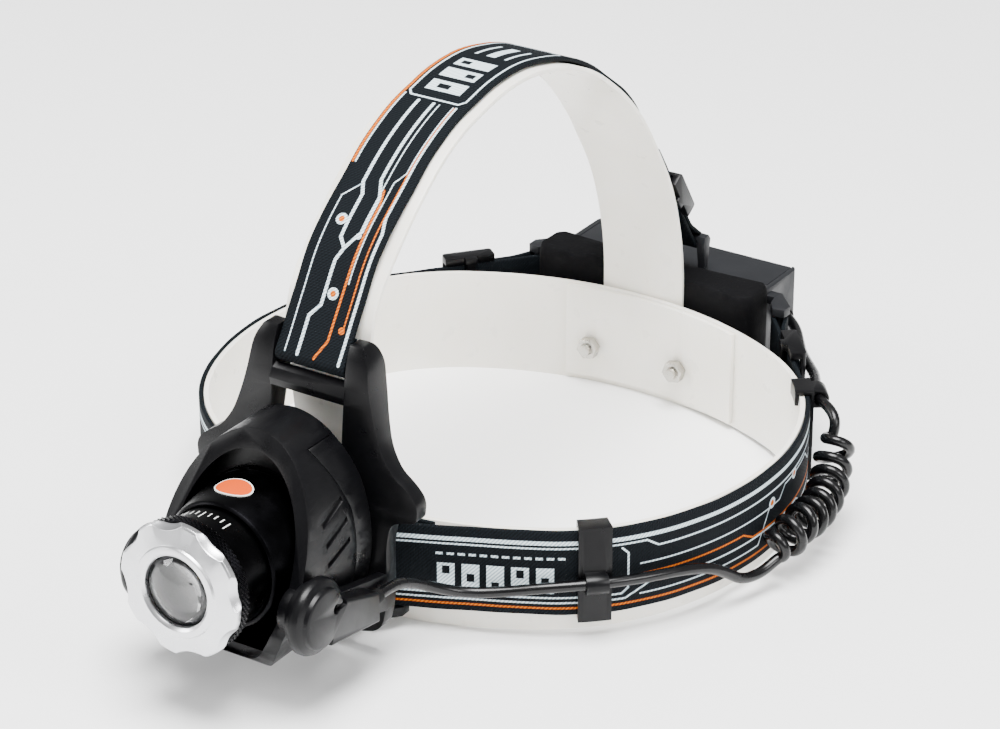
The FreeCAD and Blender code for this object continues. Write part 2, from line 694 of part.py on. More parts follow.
def three(make):
    return [make(screw_ring * math.cos(math.radians(a)), screw_ring * math.sin(math.radians(a)))
            for a in (90, 210, 330)]


def bulkhead():
    plate = on_lamp(box(-40, 40, -60, 60, -21, -17.4).cut(Part.makeCylinder(6, 10, V(0, 0, -24))))
    holes = on_lamp(Part.makeCompound(three(lambda x, y: rod(1.3, 8, (x, y, -23), (0, 0, 1)))))
    return plate.common(shell_inside(0.05)).cut(holes)


def bulkhead_screws():
    screws = three(lambda x, y: joined(rod(1.2, 8.5, (x, y, -21), (0, 0, 1)), rod(2.3, 1.4, (x, y, -22.4), (0,
        0, 1))))
    return on_lamp(Part.makeCompound(screws))


def lamp_collar():
    """Fixed barrel, with the pillar that carries the light source."""
    body = turned([(12.6, -15), (collar_out, -15), (collar_out, -12.5), (collar_out - 0.3, -8),
                   (collar_out - 1, -3),
                   (collar_out - 1.9, 2), (collar_out - 2.4, 4.2), (collar_in + 0.5, 5), (collar_in, 5),
                   (collar_in, -12), (11.5, -12), (9, led_seat), (0, led_seat), (0, -15)])
    holes = three(lambda x, y: rod(1.2, 3.6, (x, y, -16), (0, 0, 1)))
    return on_lamp(body.cut(Part.makeCompound(holes)))


def collar_ring():
    """Thin notched ring behind the collar."""
    ring = turned([(12.6, -17.35), (collar_out + 0.6, -17.35), (collar_out + 0.6, -15.05), (12.6, -15.05)])
    cuts = []
    for k in range(12):
        cut = box(collar_out - 0.4, collar_out + 3, -1.3, 1.3, -16.4, -14)
        cut.rotate(V(0, 0, 0), V(0, 0, 1), 30 * k + 15)
        cuts.append(cut)
    return on_lamp(ring.cut(Part.makeCompound(cuts)))


def led_board():
    return on_lamp(rod(8.0, 1.6, (0, 0, led_seat), (0, 0, 1)))


def led():
    base = box(-2.5, 2.5, -2.5, 2.5, led_seat + 1.6, led_seat + 2.3)
    dome = Part.makeSphere(1.9, V(0, 0, led_seat + 2.3)).common(box(-3, 3, -3, 3, led_seat + 2.0,
                                                                    led_seat + 6))
    return on_lamp(joined(base, dome))


def driver_board():
    return on_lamp(rod(13.0, 1.6, (0, 0, -25.2), (0, 0, 1)))


barrel_end = 22.8             # front end of the sliding sleeve, along the lamp's axis


def zoom_sleeve():
    r, inner = sleeve_r, sleeve_r - sleeve_wall
    body = turned([(inner, -3.5), (r, -3.5), (r, -2.6), (r - 0.9, -2.6), (r - 0.9, -1.2), (r, -1.2), (r,
        barrel_end),
                   (inner, barrel_end)])
    return on_lamp(body)


def zoom_oring():
    return on_lamp(turned([(sleeve_r - 0.88, -2.55), (sleeve_r + 0.12, -2.55), (sleeve_r + 0.12, -1.25),
                           (sleeve_r - 0.88, -1.25)]))


def knurled_ring():
    out, back, nose = sleeve_r + 2.1, barrel_end - 5.4, barrel_end - 0.9
    return on_lamp(turned([(sleeve_r + 0.02, back), (out - 0.5, back), (out, back + 0.5), (out, nose - 0.3),
                           (out - 0.3, nose), (sleeve_r + 0.02, nose)]))


def bezel():
    """Scalloped front ring with a raised inner ring that holds the lens."""
    seat, z, r = sleeve_r + 0.02, barrel_end, bezel_r
    body = turned([(seat, z - 0.8), (r - 0.5, z - 0.8), (r, z - 0.3), (r, z + 1.5), (r - 0.6, z + 2.0),
                   (14.4, z + 2.9), (14.0, z + 3.7), (12.2, z + 3.9), (11.2, z + 3.0), (11.2, z + 1.5),
                   (lens_r + 0.1, z + 1.5), (lens_r + 0.1, z + 0.1), (seat, z + 0.1)])
    scoops = []
    for k in range(8):
        a = math.radians(45 * k + 12)
        scoops.append(Part.makeSphere(12.6, V((r + 10) * math.cos(a), (r + 10) * math.sin(a), z + 5)))
    return on_lamp(body.cut(Part.makeCompound(scoops)))


def lens():
    rise, base, z = 4.2, 11.1, barrel_end
    ball = (base * base + rise * rise) / (2 * rise)
    dome = Part.makeSphere(ball, V(0, 0, z + 1.4 + rise - ball)).common(rod(base, 10, (0, 0, z + 1.3), (0, 0,
        1)))
    return on_lamp(joined(rod(lens_r, 1.6, (0, 0, z - 0.15), (0, 0, 1)), dome))


# ------------------------------------------------------------------ battery box
button_z = case_low + 29.0
socket_z = case_low + 9.0
socket_bore = 1.8
gland_mouth = (44.0, 112.6, 30.0)
gland_way = (0.766, -0.643, 0.0)


def battery_case():
    """Tray with its side walls, the strap bars and the crown strap's loop."""
    inner = case_half - case_wall
    tray = box(-case_half, case_half, case_front, case_back, case_low, case_high)
    upright = [e for e in tray.Edges if abs(e.Vertexes[0].Z - e.Vertexes[-1].Z) > 1
               and e.CenterOfMass.y > case_back - 1]
    tray = tray.makeFillet(3.0, upright)
    tray = tray.cut(box(-inner, inner, case_front + case_wall, case_back + 5, case_low + case_wall,
                        case_high + 5))
    y, x = case_front, case_half
    lug = [(x - 0.5, y + 0.2), (x - 0.5, y + 4.5), (x + 4, y + 4.5), (x + 11.2, y - 3), (x + 11.2, y - 7.2),
           (x + 7, y - 8), (x + 4.2, y - 4), (x + 3.2, y + 0.2)]
    _, (_, _, _, _, top_rod) = crown_rods()
    half = crown_strap_width / 2
    ry, rz = top_rod
    loop = [(y, case_high - 4), (y + case_wall, case_high - 4), (y + case_wall, case_high + 4), (ry + 2.4,
        rz + 0.5),
            (ry + 1, rz + 2.4), (ry - 1.6, rz + 2), (ry - 2.4, rz - 0.8), (y, case_high + 4.6)]
    lintel = box(-inner - 0.2, inner + 0.2, case_front, cover_front - 0.15, case_high - case_wall, case_high)
    parts = [lintel, rod(bar_r, 2 * half + 4, (-half - 2, ry, rz), (1, 0, 0))]
    for make in (lambda shape: shape, mirrored):
        for low, high in (lug_low, lug_high):
            parts.append(make(plane_solid(lug, "z", low, high)))
        parts.append(make(rod(bar_r, lug_high[1] - lug_low[0], (rear_bar[0], rear_bar[1], lug_low[0]), (0, 0,
            1))))
        parts.append(make(plane_solid(loop, "x", half + 0.5, half + 3.4)))
    case = joined(tray, *parts)
    for r, height in ((5.0, button_z), (3.2, socket_z), (1.3, button_z + 9)):
        case = case.cut(rod(r, case_wall + 2, (-case_half - 1, cell_y, height), (1, 0, 0)))
    return case


cover_front = case_front + 4.6   # the cover's top clears the crown strap's loop as it slides up


def battery_cover():
    """Back and top of the box, which slide up and off."""
    x = case_half - case_wall - 0.15
    back = box(-x, x, case_back - case_wall, case_back, case_low + case_wall + 0.15, case_high)
    top = box(-x, x, cover_front, case_back, case_high - case_wall, case_high)
    cover = joined(back, top)
    crest = [e for e in cover.Edges if abs(e.CenterOfMass.y - case_back) < 1e-6
             and abs(e.CenterOfMass.z - case_high) < 1e-6]
    cover = cover.makeFillet(1.6, crest)
    ribs = [box(-9, 9, case_back - 0.1, case_back + 0.7, case_low + 8 + 2.6 * k, case_low + 9.2 + 2.6 * k)
            for k in range(4)]
    return joined(cover, *ribs)


def battery_pad():
    """Soft pad between the head and the battery box, hollowed to the head's curve."""
    half, mid, end_y = case_half + 2.5, hoop_half_depth + 3.0, hoop_half_depth - 3.4
    back = case_front - 0.25
    bend = Part.Arc(V(-half, end_y, 3), V(0, mid, 3), V(half, end_y, 3)).toShape()
    sides = [Part.LineSegment(V(half, end_y, 3), V(half, back, 3)).toShape(),
             Part.LineSegment(V(half, back, 3), V(-half, back, 3)).toShape(),
             Part.LineSegment(V(-half, back, 3), V(-half, end_y, 3)).toShape()]
    pad = Part.Face(Part.Wire([bend] + sides)).extrude(V(0, 0, case_high + 1))
    upright = [e for e in pad.Edges if abs(e.Vertexes[0].Z - e.Vertexes[-1].Z) > 1]
    return pad.makeFillet(4.0, upright)


def cell_heights():
    return [case_low + case_wall + 0.1 + cell_r, case_low + case_wall + 0.1 + 3 * cell_r]


def battery_cells():
    return Part.makeCompound([rod(cell_r - 0.02, cell_length, (-cell_length / 2, cell_y, z), (1, 0, 0))
                              for z in cell_heights()])


def contact_springs():
    x = cell_length / 2 + 0.1
    return Part.makeCompound([tube(4.0, 3.2, 4.6, (x, cell_y, z), (1, 0, 0)) for z in cell_heights()])


def contact_plates():
    x = cell_length / 2
    made = [box(-x - 0.9, -x - 0.2, cell_y - 6, cell_y + 6, z - 6, z + 6) for z in cell_heights()]
    made += [box(x + 4.8, x + 5.4, cell_y - 6, cell_y + 6, z - 6, z + 6) for z in cell_heights()]
    return Part.makeCompound(made)


def circuit_board():
    x = -cell_length / 2 - 1.1
    return box(x - 1.6, x, cell_y - 8.5, cell_y + 8.5, case_low + 4, case_high - 4)


def power_button():
    wall = -case_half
    cap = rod(4.92, 3.6, (wall - 1.4, cell_y, button_z), (1, 0, 0))
    cap = cap.makeFillet(0.6, [e for e in cap.Edges if abs(e.CenterOfMass.x - wall + 1.4) < 1e-6])
    return joined(cap, rod(6.2, 1.1, (wall + case_wall + 0.2, cell_y, button_z), (1, 0, 0)),
                  rod(1.2, 0.8, (wall + case_wall + 1.1, cell_y, button_z), (1, 0, 0)))


def charge_socket():
    return tube(3.2, socket_bore, 4.9, (-case_half - 0.3, cell_y, socket_z), (1, 0, 0))


def charge_light():
    return rod(1.3, case_wall + 0.3, (-case_half - 0.2, cell_y, button_z + 9), (1, 0, 0))


def cord_gland():
    x, y, z = gland_mouth
    a, b, _ = gland_way
    run = (x - case_half + 1.0) / a
    cone = Part.makeCone(3.4, 2.4, run, V(x - a * run, y - b * run, z), V(a, b, 0))
    return cone.cut(box(-case_half, case_half, case_front - 5, case_back + 5, case_low, case_high))


# ------------------------------------------------------------------ cord
lead_points = [cord_exit, (32.0, -111.0, 27.8), (33.4, -103.4, 25.4), (36.8, -95.2, 20.4),
               (43.0, -87.8, 17.0), (52.6, -82.2, 17.6), (64.8, -76.0, 19.8), (76.8, -67.4, 20.6),
               (86.2, -56.0, 20.2), (93.2, -43.2, 19.2), (97.4, -34.2, 17.0), (100.2, -27.8, 12.9),
               (102.4, -22.6, 8.6), (104.6, -14.4, 7.6), (106.2, -8.6, 12.0)]
coil_points = [(106.2, -8.6, 12.0), (107.5, 1.5, 17.2), (107.2, 14.0, 15.8), (105.3, 26.2, 16.6),
               (102.7, 35.4, 19.6), (100.6, 41.0, 24.6), (99.0, 44.4, 29.8)]
tail_points = [(99.0, 44.4, 29.8), (97.6, 46.8, 33.2), (93.6, 49.8, 35.1), (88.4, 53.2, 35.0),
               (83.0, 60.4, 35.0), (76.6, 72.2, 32.8), (69.2, 81.6, 30.8), (61.8, 90.6, 29.4),
               (56.4, 98.6, 29.4), (50.2, 107.4, 30.0), gland_mouth]


def tube_path(points):
    """Straight runs between the points, joined by the largest tangent arcs they allow."""
    pts = [V(*p) for p in points]
    edges, at, radii = [], pts[0], []
    for before, corner, after in zip(pts, pts[1:], pts[2:]):
        d0, d1 = (corner - before).normalize(), (after - corner).normalize()
        turn = d0.getAngle(d1)
        run = min((corner - before).Length, (after - corner).Length)
        r = 0.45 * run / math.tan(turn / 2)
        cut = 0.45 * run
        a, b = corner - d0 * cut, corner + d1 * cut
        inward = (d1 - d0).normalize()
        mid = corner + inward * (r / math.cos(turn / 2) - r)
        edges += [Part.LineSegment(at, a).toShape(), Part.Arc(a, mid, b).toShape()]
        radii.append(r)
        at = b
    edges.append(Part.LineSegment(at, pts[-1]).toShape())
    return Part.Wire(edges), radii


def cord_tube(name, points, r):
    path, radii = tube_path(points)
    start = V(*points[0])
    way = V(*points[1]) - start
    ring = Part.Wire(Part.Circle(start, way, r).toShape())
    solid = path.makePipeShell([ring], True, False)
    share = solid.Volume / (math.pi * r * r * path.Length)
    print(name, "length", round(path.Length, 1), "volume share", round(share, 4), "radii",
          [round(k, 1) for k in radii])
    return solid


def cord_clip(side_sign, degrees, cord_z):
    """Clip over strap and hoop with a ring for the cord, on a corner of the hoop."""
    strap_out = hoop_corner_r + strap_gap + strap_thick
    a, b = strap_out + 0.3, strap_out + 1.5
    inner = hoop_corner_r - hoop_wall - 0.3
    low, high = strap_low - 1.9, strap_top + 1.6

    def sector(r0, r1, z0, z1, half):
        wide = Part.makeCylinder(r1, z1 - z0, V(0, 0, z0), V(0, 0, 1), 2 * half)
        core = Part.makeCylinder(r0, z1 - z0, V(0, 0, z0), V(0, 0, 1), 2 * half)
        ring = wide.cut(core)
        ring.rotate(V(0, 0, 0), V(0, 0, 1), -half)
        return ring
    half = 4.1
    body = joined(sector(a, b, low, high, half), sector(hoop_corner_r + 0.4, b, low, strap_low - 0.5, half),
                  sector(inner - 1.2, b, strap_top + 0.3, high, half),
                  sector(inner - 1.2, inner, strap_top - 3.5, high, half))
    mid = strap_out + 3.4
    ring = joined(rod(cord_r + 1.45, 7.0, (mid, -3.5, cord_z), (0, 1, 0)),
                  box(b - 1.0, mid, -3.5, 3.5, cord_z - 3.2, cord_z + 3.2))
    body = joined(body, ring).cut(rod(cord_r + 0.35, 20, (mid, -10, cord_z), (0, 1, 0)))
    body.rotate(V(0, 0, 0), V(0, 0, 1), degrees)
    body.translate(V(corner_mid[0], side_sign * corner_mid[1], 0))
    return body


# ------------------------------------------------------------------ the whole headlamp
def pieces():
    return {
        "hoop_band": hoop_band(), "hoop_lap": hoop_lap(), "hoop_bolts": hoop_bolts(),
        "hoop_nuts": hoop_nuts(),
        "crown_strip": crown_strip(), "front_bracket": front_bracket(), "bracket_pad": bracket_pad(),
        "hinge_pin_right": hinge_pin(), "hinge_pin_left": mirrored(hinge_pin()),
        "hinge_cap_right": hinge_cap_right(), "hinge_cap_left": hinge_cap_left(),
        "strain_relief": strain_relief(),
        "shell_front": shell_front(), "shell_rear": shell_rear(), "bulkhead": bulkhead(),
        "bulkhead_screws": bulkhead_screws(), "lamp_collar": lamp_collar(), "collar_ring": collar_ring(),
        "led_board": led_board(), "led": led(), "driver_board": driver_board(), "zoom_sleeve": zoom_sleeve(),
        "zoom_oring": zoom_oring(), "knurled_ring": knurled_ring(), "bezel": bezel(), "lens": lens(),
        "strap_right": main_strap(), "strap_left": mirrored(main_strap()), "crown_strap": crown_strap(),
        "adjuster_right": side_adjuster(), "adjuster_left": mirrored(side_adjuster()),
        "adjuster_crown": crown_adjuster(), "battery_pad": battery_pad(), "battery_case": battery_case(),
        "battery_cover": battery_cover(), "battery_cells": battery_cells(),
        "contact_springs": contact_springs(),
        "contact_plates": contact_plates(), "circuit_board": circuit_board(), "power_button": power_button(),
        "charge_socket": charge_socket(), "charge_light": charge_light(), "cord_gland": cord_gland(),
        "cord_lead": cord_tube("cord_lead", lead_points, cord_r),
        "cord_coil": cord_tube("cord_coil", coil_points, coil_r),
        "cord_tail": cord_tube("cord_tail", tail_points, cord_r),
        "clip_front": cord_clip(-1, -47.5, 20.4), "clip_rear": cord_clip(1, 37.0, 35.0),
    }


os.makedirs("parts", exist_ok=True)
for name, shape in pieces().items():
    assert shape.isValid() and shape.Volume > 0, name
    shape.exportStep("parts/" + name + ".step")
leave, along, away, run = side_run()
print("side strap run from", [round(k, 2) for k in leave], "along", [round(k, 4) for k in along], "length",
      round(run, 1))
crown_front, crown_back = crown_rods()
print("crown run from", [round(k, 2) for k in crown_back[0]], "along", [round(k, 4) for k in crown_back[1]])
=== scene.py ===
# %% [markdown]
# A headlamp on a white head former. The moulded, turned and bolted pieces come from the
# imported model, which fixes every size and place. This script gives them their finish, and
# makes the soft and fine pieces: straps, pads, the curly cord, the knurling and the prints.

# %% Load the model and keep its box
import bpy, bmesh, math
from mathutils import Matrix, Vector


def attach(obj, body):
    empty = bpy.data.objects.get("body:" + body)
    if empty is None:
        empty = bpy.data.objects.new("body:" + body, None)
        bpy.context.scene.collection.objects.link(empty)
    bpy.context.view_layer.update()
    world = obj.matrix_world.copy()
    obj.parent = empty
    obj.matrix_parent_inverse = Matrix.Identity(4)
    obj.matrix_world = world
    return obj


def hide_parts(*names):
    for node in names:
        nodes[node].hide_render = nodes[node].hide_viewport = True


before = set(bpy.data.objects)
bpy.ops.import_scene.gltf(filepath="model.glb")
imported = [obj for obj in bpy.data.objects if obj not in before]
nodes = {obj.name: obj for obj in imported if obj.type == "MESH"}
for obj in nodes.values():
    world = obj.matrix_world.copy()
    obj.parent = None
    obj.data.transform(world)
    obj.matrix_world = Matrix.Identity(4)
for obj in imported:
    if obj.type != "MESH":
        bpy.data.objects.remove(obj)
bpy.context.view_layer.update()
root = "bracket_and_straps"
mm = 0.001

# %% [markdown]
# The camera comes first. It stands to the lamp's left hand side, a little above, and far
# enough back for a long lens, which keeps the hoop's ellipse calm and undistorted.

# %% Camera
target = Vector((-3.8, 3.8, 43.9)) * mm
azimuth, elevation, away = math.radians(32.74), math.radians(26.3), 1159.5 * mm
camera = bpy.data.objects.new("camera", bpy.data.cameras.new("camera"))
bpy.context.scene.collection.objects.link(camera)
camera.location = target + away * Vector((math.cos(elevation) * math.sin(azimuth),
                                          -math.cos(elevation) * math.cos(azimuth), math.sin(elevation)))
camera.rotation_euler = (target - camera.location).to_track_quat("-Z", "Y").to_euler()
camera.data.sensor_width, camera.data.lens = 36.0, 127.8
bpy.context.scene.camera = camera

# %% [markdown]
# Two small helpers serve everything below. One makes an object from points and faces, and
# the other turns an evaluated object into a plain mesh that sits at the origin.

# %% Mesh helpers
def new_object(name, verts, faces):
    mesh = bpy.data.meshes.new(name)
    mesh.from_pydata([tuple(v) for v in verts], [], faces)
    made = bpy.data.objects.new(name, mesh)
    bpy.context.scene.collection.objects.link(made)
    return made


def plain_mesh(obj, name):
    """Replaces an object by the plain mesh of what its modifiers or curve give."""
    bpy.context.view_layer.update()
    ready = obj.evaluated_get(bpy.context.evaluated_depsgraph_get())
    mesh = bpy.data.meshes.new_from_object(ready)
    mesh.transform(obj.matrix_world)
    made = bpy.data.objects.new(name, mesh)
    bpy.context.scene.collection.objects.link(made)
    bpy.data.objects.remove(obj)
    mesh.name = name
    return made


def smooth(obj, angle=30.0):
    """Smooth shading, with the edges sharper than the angle kept crisp."""
    bm = bmesh.new()
    bm.from_mesh(obj.data)
    for face in bm.faces:
        face.smooth = True
    for edge in bm.edges:
        edge.smooth = len(edge.link_faces) == 2 and edge.calc_face_angle(0.0) < math.radians(angle)
    bm.to_mesh(obj.data)
    bm.free()


# %% [markdown]
# The cord is black PVC, 3.5 mm thick. It leaves the hinge cover, runs back along the strap,
# turns into a curly stretch beside the temple and goes on to the battery box. Its line is a
# NURBS spline. The curl is wound round the middle stretch's own spline, and its turns are
# more points of the one cord.

# %% Cord route
lead_points = [(32, -118.5, 27.8), (32, -111, 27.8), (33.4, -103.4, 25.4), (36.8, -95.2, 20.4),
               (43, -87.8, 17), (52.6, -82.2, 17.6), (64.8, -76, 19.8), (76.8, -67.4, 20.6),
               (86.2, -56, 20.2), (93.2, -43.2, 19.2), (97.4, -34.2, 17), (100.2, -27.8, 12.9),
               (102.4, -22.6, 8.6), (104.6, -14.4, 7.6)]
coil_points = [(106.2, -8.6, 12), (107.5, 1.5, 17.2), (107.2, 14, 15.8), (105.3, 26.2, 16.6),
               (102.7, 35.4, 19.6), (100.6, 41, 24.6), (99, 44.4, 29.8)]
tail_points = [(97.6, 46.8, 33.2), (93.6, 49.8, 35.1), (88.4, 53.2, 35), (83, 60.4, 35), (76.6, 72.2, 32.8),
               (69.2, 81.6, 30.8), (61.8, 90.6, 29.4), (56.4, 98.6, 29.4), (50.2, 107.4, 30), (44, 112.6, 30)]
cord_d = 3.5 * mm
coil_turns, coil_reach = 9, 5.15 * mm


def nurbs(name, points):
    curve = bpy.data.curves.new(name, "CURVE")
    curve.dimensions = "3D"
    spline = curve.splines.new("NURBS")
    spline.points.add(len(points) - 1)
    for place, p in zip(spline.points, points):
        place.co = (p[0], p[1], p[2], 1)
    spline.order_u = 3
    spline.use_endpoint_u = True
    curve.resolution_u = 12
    made = bpy.data.objects.new(name, curve)
    bpy.context.scene.collection.objects.link(made)
    return made


# %% Curly stretch
middle = plain_mesh(nurbs("coil_middle", [Vector(p) * mm for p in coil_points]), "coil_middle")
line = [v.co.copy() for v in middle.data.vertices]
bpy.data.objects.remove(middle)
run = [0.0]
for a, b in zip(line, line[1:]):
    run.append(run[-1] + (b - a).length)


def along_line(s):
    """Point and direction at a distance along the curl's middle line."""
    k = max(i for i in range(len(line) - 1) if run[i] <= s + 1e-9)
    way = (line[k + 1] - line[k]).normalized()
    return line[k] + way * (s - run[k]), way


curl = []
points_per_turn = 14
steps = coil_turns * points_per_turn
for i in range(1, steps):
    t = i / steps
    point, way = along_line(t * run[-1])
    side = way.cross(Vector((0, 0, 1))).normalized()
    up = side.cross(way)
    swell = min(1.0, t * 16, (1 - t) * 16)
    unevenness = 1 + 0.035 * math.sin(5.1 * i / points_per_turn) + 0.02 * math.sin(2.3 * i / points_per_turn)
    reach = coil_reach * (0.25 + 0.75 * swell) * unevenness
    turn = 2 * math.pi * i / points_per_turn - math.pi / 2
    curl.append(point + reach * (math.cos(turn) * side + math.sin(turn) * up))
route = [Vector(p) * mm for p in lead_points] + curl + [Vector(p) * mm for p in tail_points]


def traced(curve):
    """The points of a bare curve, in order, and the length along them."""
    made = plain_mesh(curve, "traced")
    points = [v.co.copy() for v in made.data.vertices]
    bpy.data.objects.remove(made)
    return points, sum((b - a).length for a, b in zip(points, points[1:]))


bare = nurbs("bare", route)
bare.data.resolution_u = 6
cord_line, cord_length = traced(bare)
cord = nurbs("cord_tube", route)
cord.data.bevel_depth, cord.data.bevel_resolution = cord_d / 2, 4
cord.data.resolution_u, cord.data.use_fill_caps = 6, True
cord = plain_mesh(cord, "cord")
smooth(cord, 60)
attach(cord, root)
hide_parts("cord_lead", "cord_coil", "cord_tail")
print("cord length", round(cord_length, 4), "curl points", len(curl))

# %% [markdown]
# The floor and the light are a plain white studio: one wide soft lamp above and in front,
# a second from the left that draws the long highlight on the black plastic, and a bright
# surround that keeps the shadows pale.

# %% Floor and light
floor = new_object("floor", [(-4, -4, 0), (4, -4, 0), (4, 4, 0), (-4, 4, 0)], [(0, 1, 2, 3)])


def soft_lamp(name, place, look_at, size, power):
    lamp = bpy.data.objects.new(name, bpy.data.lights.new(name, "AREA"))
    lamp.data.shape, lamp.data.size, lamp.data.energy = "DISK", size, power
    lamp.location = place
    lamp.rotation_euler = (Vector(look_at) - Vector(place)).to_track_quat("-Z", "Y").to_euler()
    bpy.context.scene.collection.objects.link(lamp)


soft_lamp("top", (0.2, -0.3, 1.5), (0, 0, 0.05), 1.0, 85)
soft_lamp("left", (-1.3, -0.8, 0.7), (0, -0.05, 0.05), 0.7, 18)
soft_lamp("right", (1.2, -0.2, 0.8), (0, 0, 0.05), 0.6, 12)
world = bpy.data.worlds.new("studio")
bpy.context.scene.world = world
world.use_nodes = True
world.node_tree.nodes["Background"].inputs[0].default_value = (1, 1, 1, 1)
world.node_tree.nodes["Background"].inputs[1].default_value = 0.55

# %% [markdown]
# Every finish is a small node tree. One function turns an sRGB hex value to the linear colour
# that Blender wants, and one adds a node: its settings are named values, and its inputs are
# either numbers or links from other nodes.

# %% Material helpers
def hexa(code, alpha=1.0):
    parts = [int(code[i:i + 2], 16) / 255 for i in (0, 2, 4)]
    return tuple(c / 12.92 if c <= 0.04045 else ((c + 0.055) / 1.055) ** 2.4 for c in parts) + (alpha,)


def add(tree, kind, inputs=None, **settings):
    made = tree.nodes.new(kind)
    for key, value in settings.items():
        setattr(made, key, value)
    for key, value in (inputs or {}).items():
        if isinstance(value, bpy.types.NodeSocket):
            tree.links.new(value, made.inputs[key])
        else:
            made.inputs[key].default_value = value
    return made


def finish_of(name, **shader):
    """A material with one Principled shader, whose constant values are set on its own sockets."""
    mat = bpy.data.materials.new(name)
    mat.use_nodes = True
    tree = mat.node_tree
    surface = tree.nodes["Principled BSDF"]
    for key, value in shader.items():
        surface.inputs[key.replace("_", " ")].default_value = value
    return mat, tree, surface


def blend(tree, share, low, high):
    """A colour between two hex values."""
    return add(tree, "ShaderNodeMix", {0: share, 6: hexa(low), 7: hexa(high)}, data_type="RGBA").outputs[2]


def bumped(tree, surface, height, depth_mm, strength=1.0):
    bump = add(tree, "ShaderNodeBump", {"Height": height, "Distance": depth_mm * mm, "Strength": strength})
    tree.links.new(bump.outputs[0], surface.inputs["Normal"])


def grain(tree, size_mm, detail=2.0):
    """Noise on object coordinates whose spots are about size_mm across."""
    place = add(tree, "ShaderNodeTexCoord").outputs["Object"]
    return add(tree, "ShaderNodeTexNoise",
               {"Vector": place, "Scale": 1 / (size_mm * mm), "Detail": detail}).outputs[0]


def spread(tree, value, low, high):
    return add(tree, "ShaderNodeMapRange", {"Value": value, "From Min": 0.3, "From Max": 0.7, "To Min": low,
                                           "To Max": high}).outputs[0]


# %% [markdown]
# The bracket, shells, caps, buckles and clips are injection-moulded ABS with a fine spark-eroded
# texture. It is a near-black satin that catches a broad soft highlight, and handling leaves it
# slightly uneven in gloss.

# %% Moulded plastics
def moulded(name, dark, light, rough_low, rough_high, texture_mm=0.35, depth_mm=0.02, **shader):
    mat, tree, surface = finish_of(name, **shader)
    cloud = grain(tree, 18.0)
    tree.links.new(blend(tree, cloud, dark, light), surface.inputs["Base Color"])
    tree.links.new(spread(tree, grain(tree, 7.0, 4.0), rough_low, rough_high), surface.inputs["Roughness"])
    bumped(tree, surface, grain(tree, texture_mm, 3.0), depth_mm)
    return mat


abs_black = moulded("abs_black_satin_moulded", "040405", "08080a", 0.26, 0.38, IOR=1.53,
                     Specular_IOR_Level=0.16)
abs_grey = moulded("abs_dark_grey_moulded", "141517", "1b1c1f", 0.38, 0.5, IOR=1.53,
                    Specular_IOR_Level=0.2)
# Milky polypropylene sheet: light soaks in and softens it, and thin edges glow.
pp_milky = moulded("polypropylene_milky_sheet", "e3dfd4", "eeebe4", 0.26, 0.40, 2.5, 0.03, IOR=1.49,
                   Subsurface_Weight=0.35, Subsurface_Radius=(0.006, 0.005, 0.004), Coat_Weight=0.15)
rubber_black = moulded("nitrile_rubber_black", "060606", "0c0c0c", 0.55, 0.7, 0.5, 0.02, IOR=1.52,
                       Specular_IOR_Level=0.15)
pvc_cord = moulded("pvc_cord_black", "040405", "080809", 0.2, 0.3, 1.2, 0.02, IOR=1.53,
                   Specular_IOR_Level=0.3)
board_green = moulded("circuit_board_solder_resist", "0d3b22", "145230", 0.3, 0.4, IOR=1.5)
board_white = moulded("circuit_board_white_resist", "e6e6e2", "f2f2ee", 0.3, 0.4, IOR=1.5)
cell_sleeve = moulded("pvc_shrink_sleeve_blue", "1d4f86", "2a65a3", 0.2, 0.3, IOR=1.53)
window_clear = moulded("indicator_window_polycarbonate", "b9c6bd", "cfd9d1", 0.15, 0.25, IOR=1.58,
                       Transmission_Weight=0.5)
phosphor = moulded("led_phosphor_silicone", "d8b52c", "ecd257", 0.2, 0.3, IOR=1.41, Coat_Weight=0.5)

# %% [markdown]
# The front ring is turned aluminium, blasted and anodised to a bright satin. The barrel, the
# collar and the grip ring are the same metal in black. Bolts, nuts and pins are nickel-plated
# steel; the fine rings that a lathe leaves on them are not drawn, only a fine grit.

# %% Metals
def metal(name, dark, light, rough_low, rough_high, grit_mm, depth_mm, **shader):
    mat, tree, surface = finish_of(name, Metallic=1.0, **shader)
    tree.links.new(blend(tree, grain(tree, 9.0, 3.0), dark, light), surface.inputs["Base Color"])
    tree.links.new(spread(tree, grain(tree, 4.0, 3.0), rough_low, rough_high), surface.inputs["Roughness"])
    bumped(tree, surface, grain(tree, grit_mm, 2.0), depth_mm)
    return mat


silver_satin = metal("aluminium_blasted_satin_anodised", "c9cacd", "dcdcde", 0.26, 0.34, 0.25, 0.012)
black_anodised = metal("aluminium_black_anodised", "070708", "0d0d0f", 0.26, 0.38, 0.3, 0.01)
steel_plated = metal("steel_nickel_plated", "a9a69f", "c4c1ba", 0.2, 0.34, 0.4, 0.01)

# Clear acrylic of the lens.
lens_clear = finish_of("acrylic_lens_clear", Base_Color=(1, 1, 1, 1), Roughness=0.02, IOR=1.49,
                       Transmission_Weight=1.0)[0]
# White painted studio floor.
floor_white, tree, surface = finish_of("floor_matt_white", Roughness=0.9)
tree.links.new(blend(tree, grain(tree, 300.0), "f4f4f4", "f7f7f7"), surface.inputs["Base Color"])
floor.data.materials.append(floor_white)
cord.data.materials.append(pvc_cord)

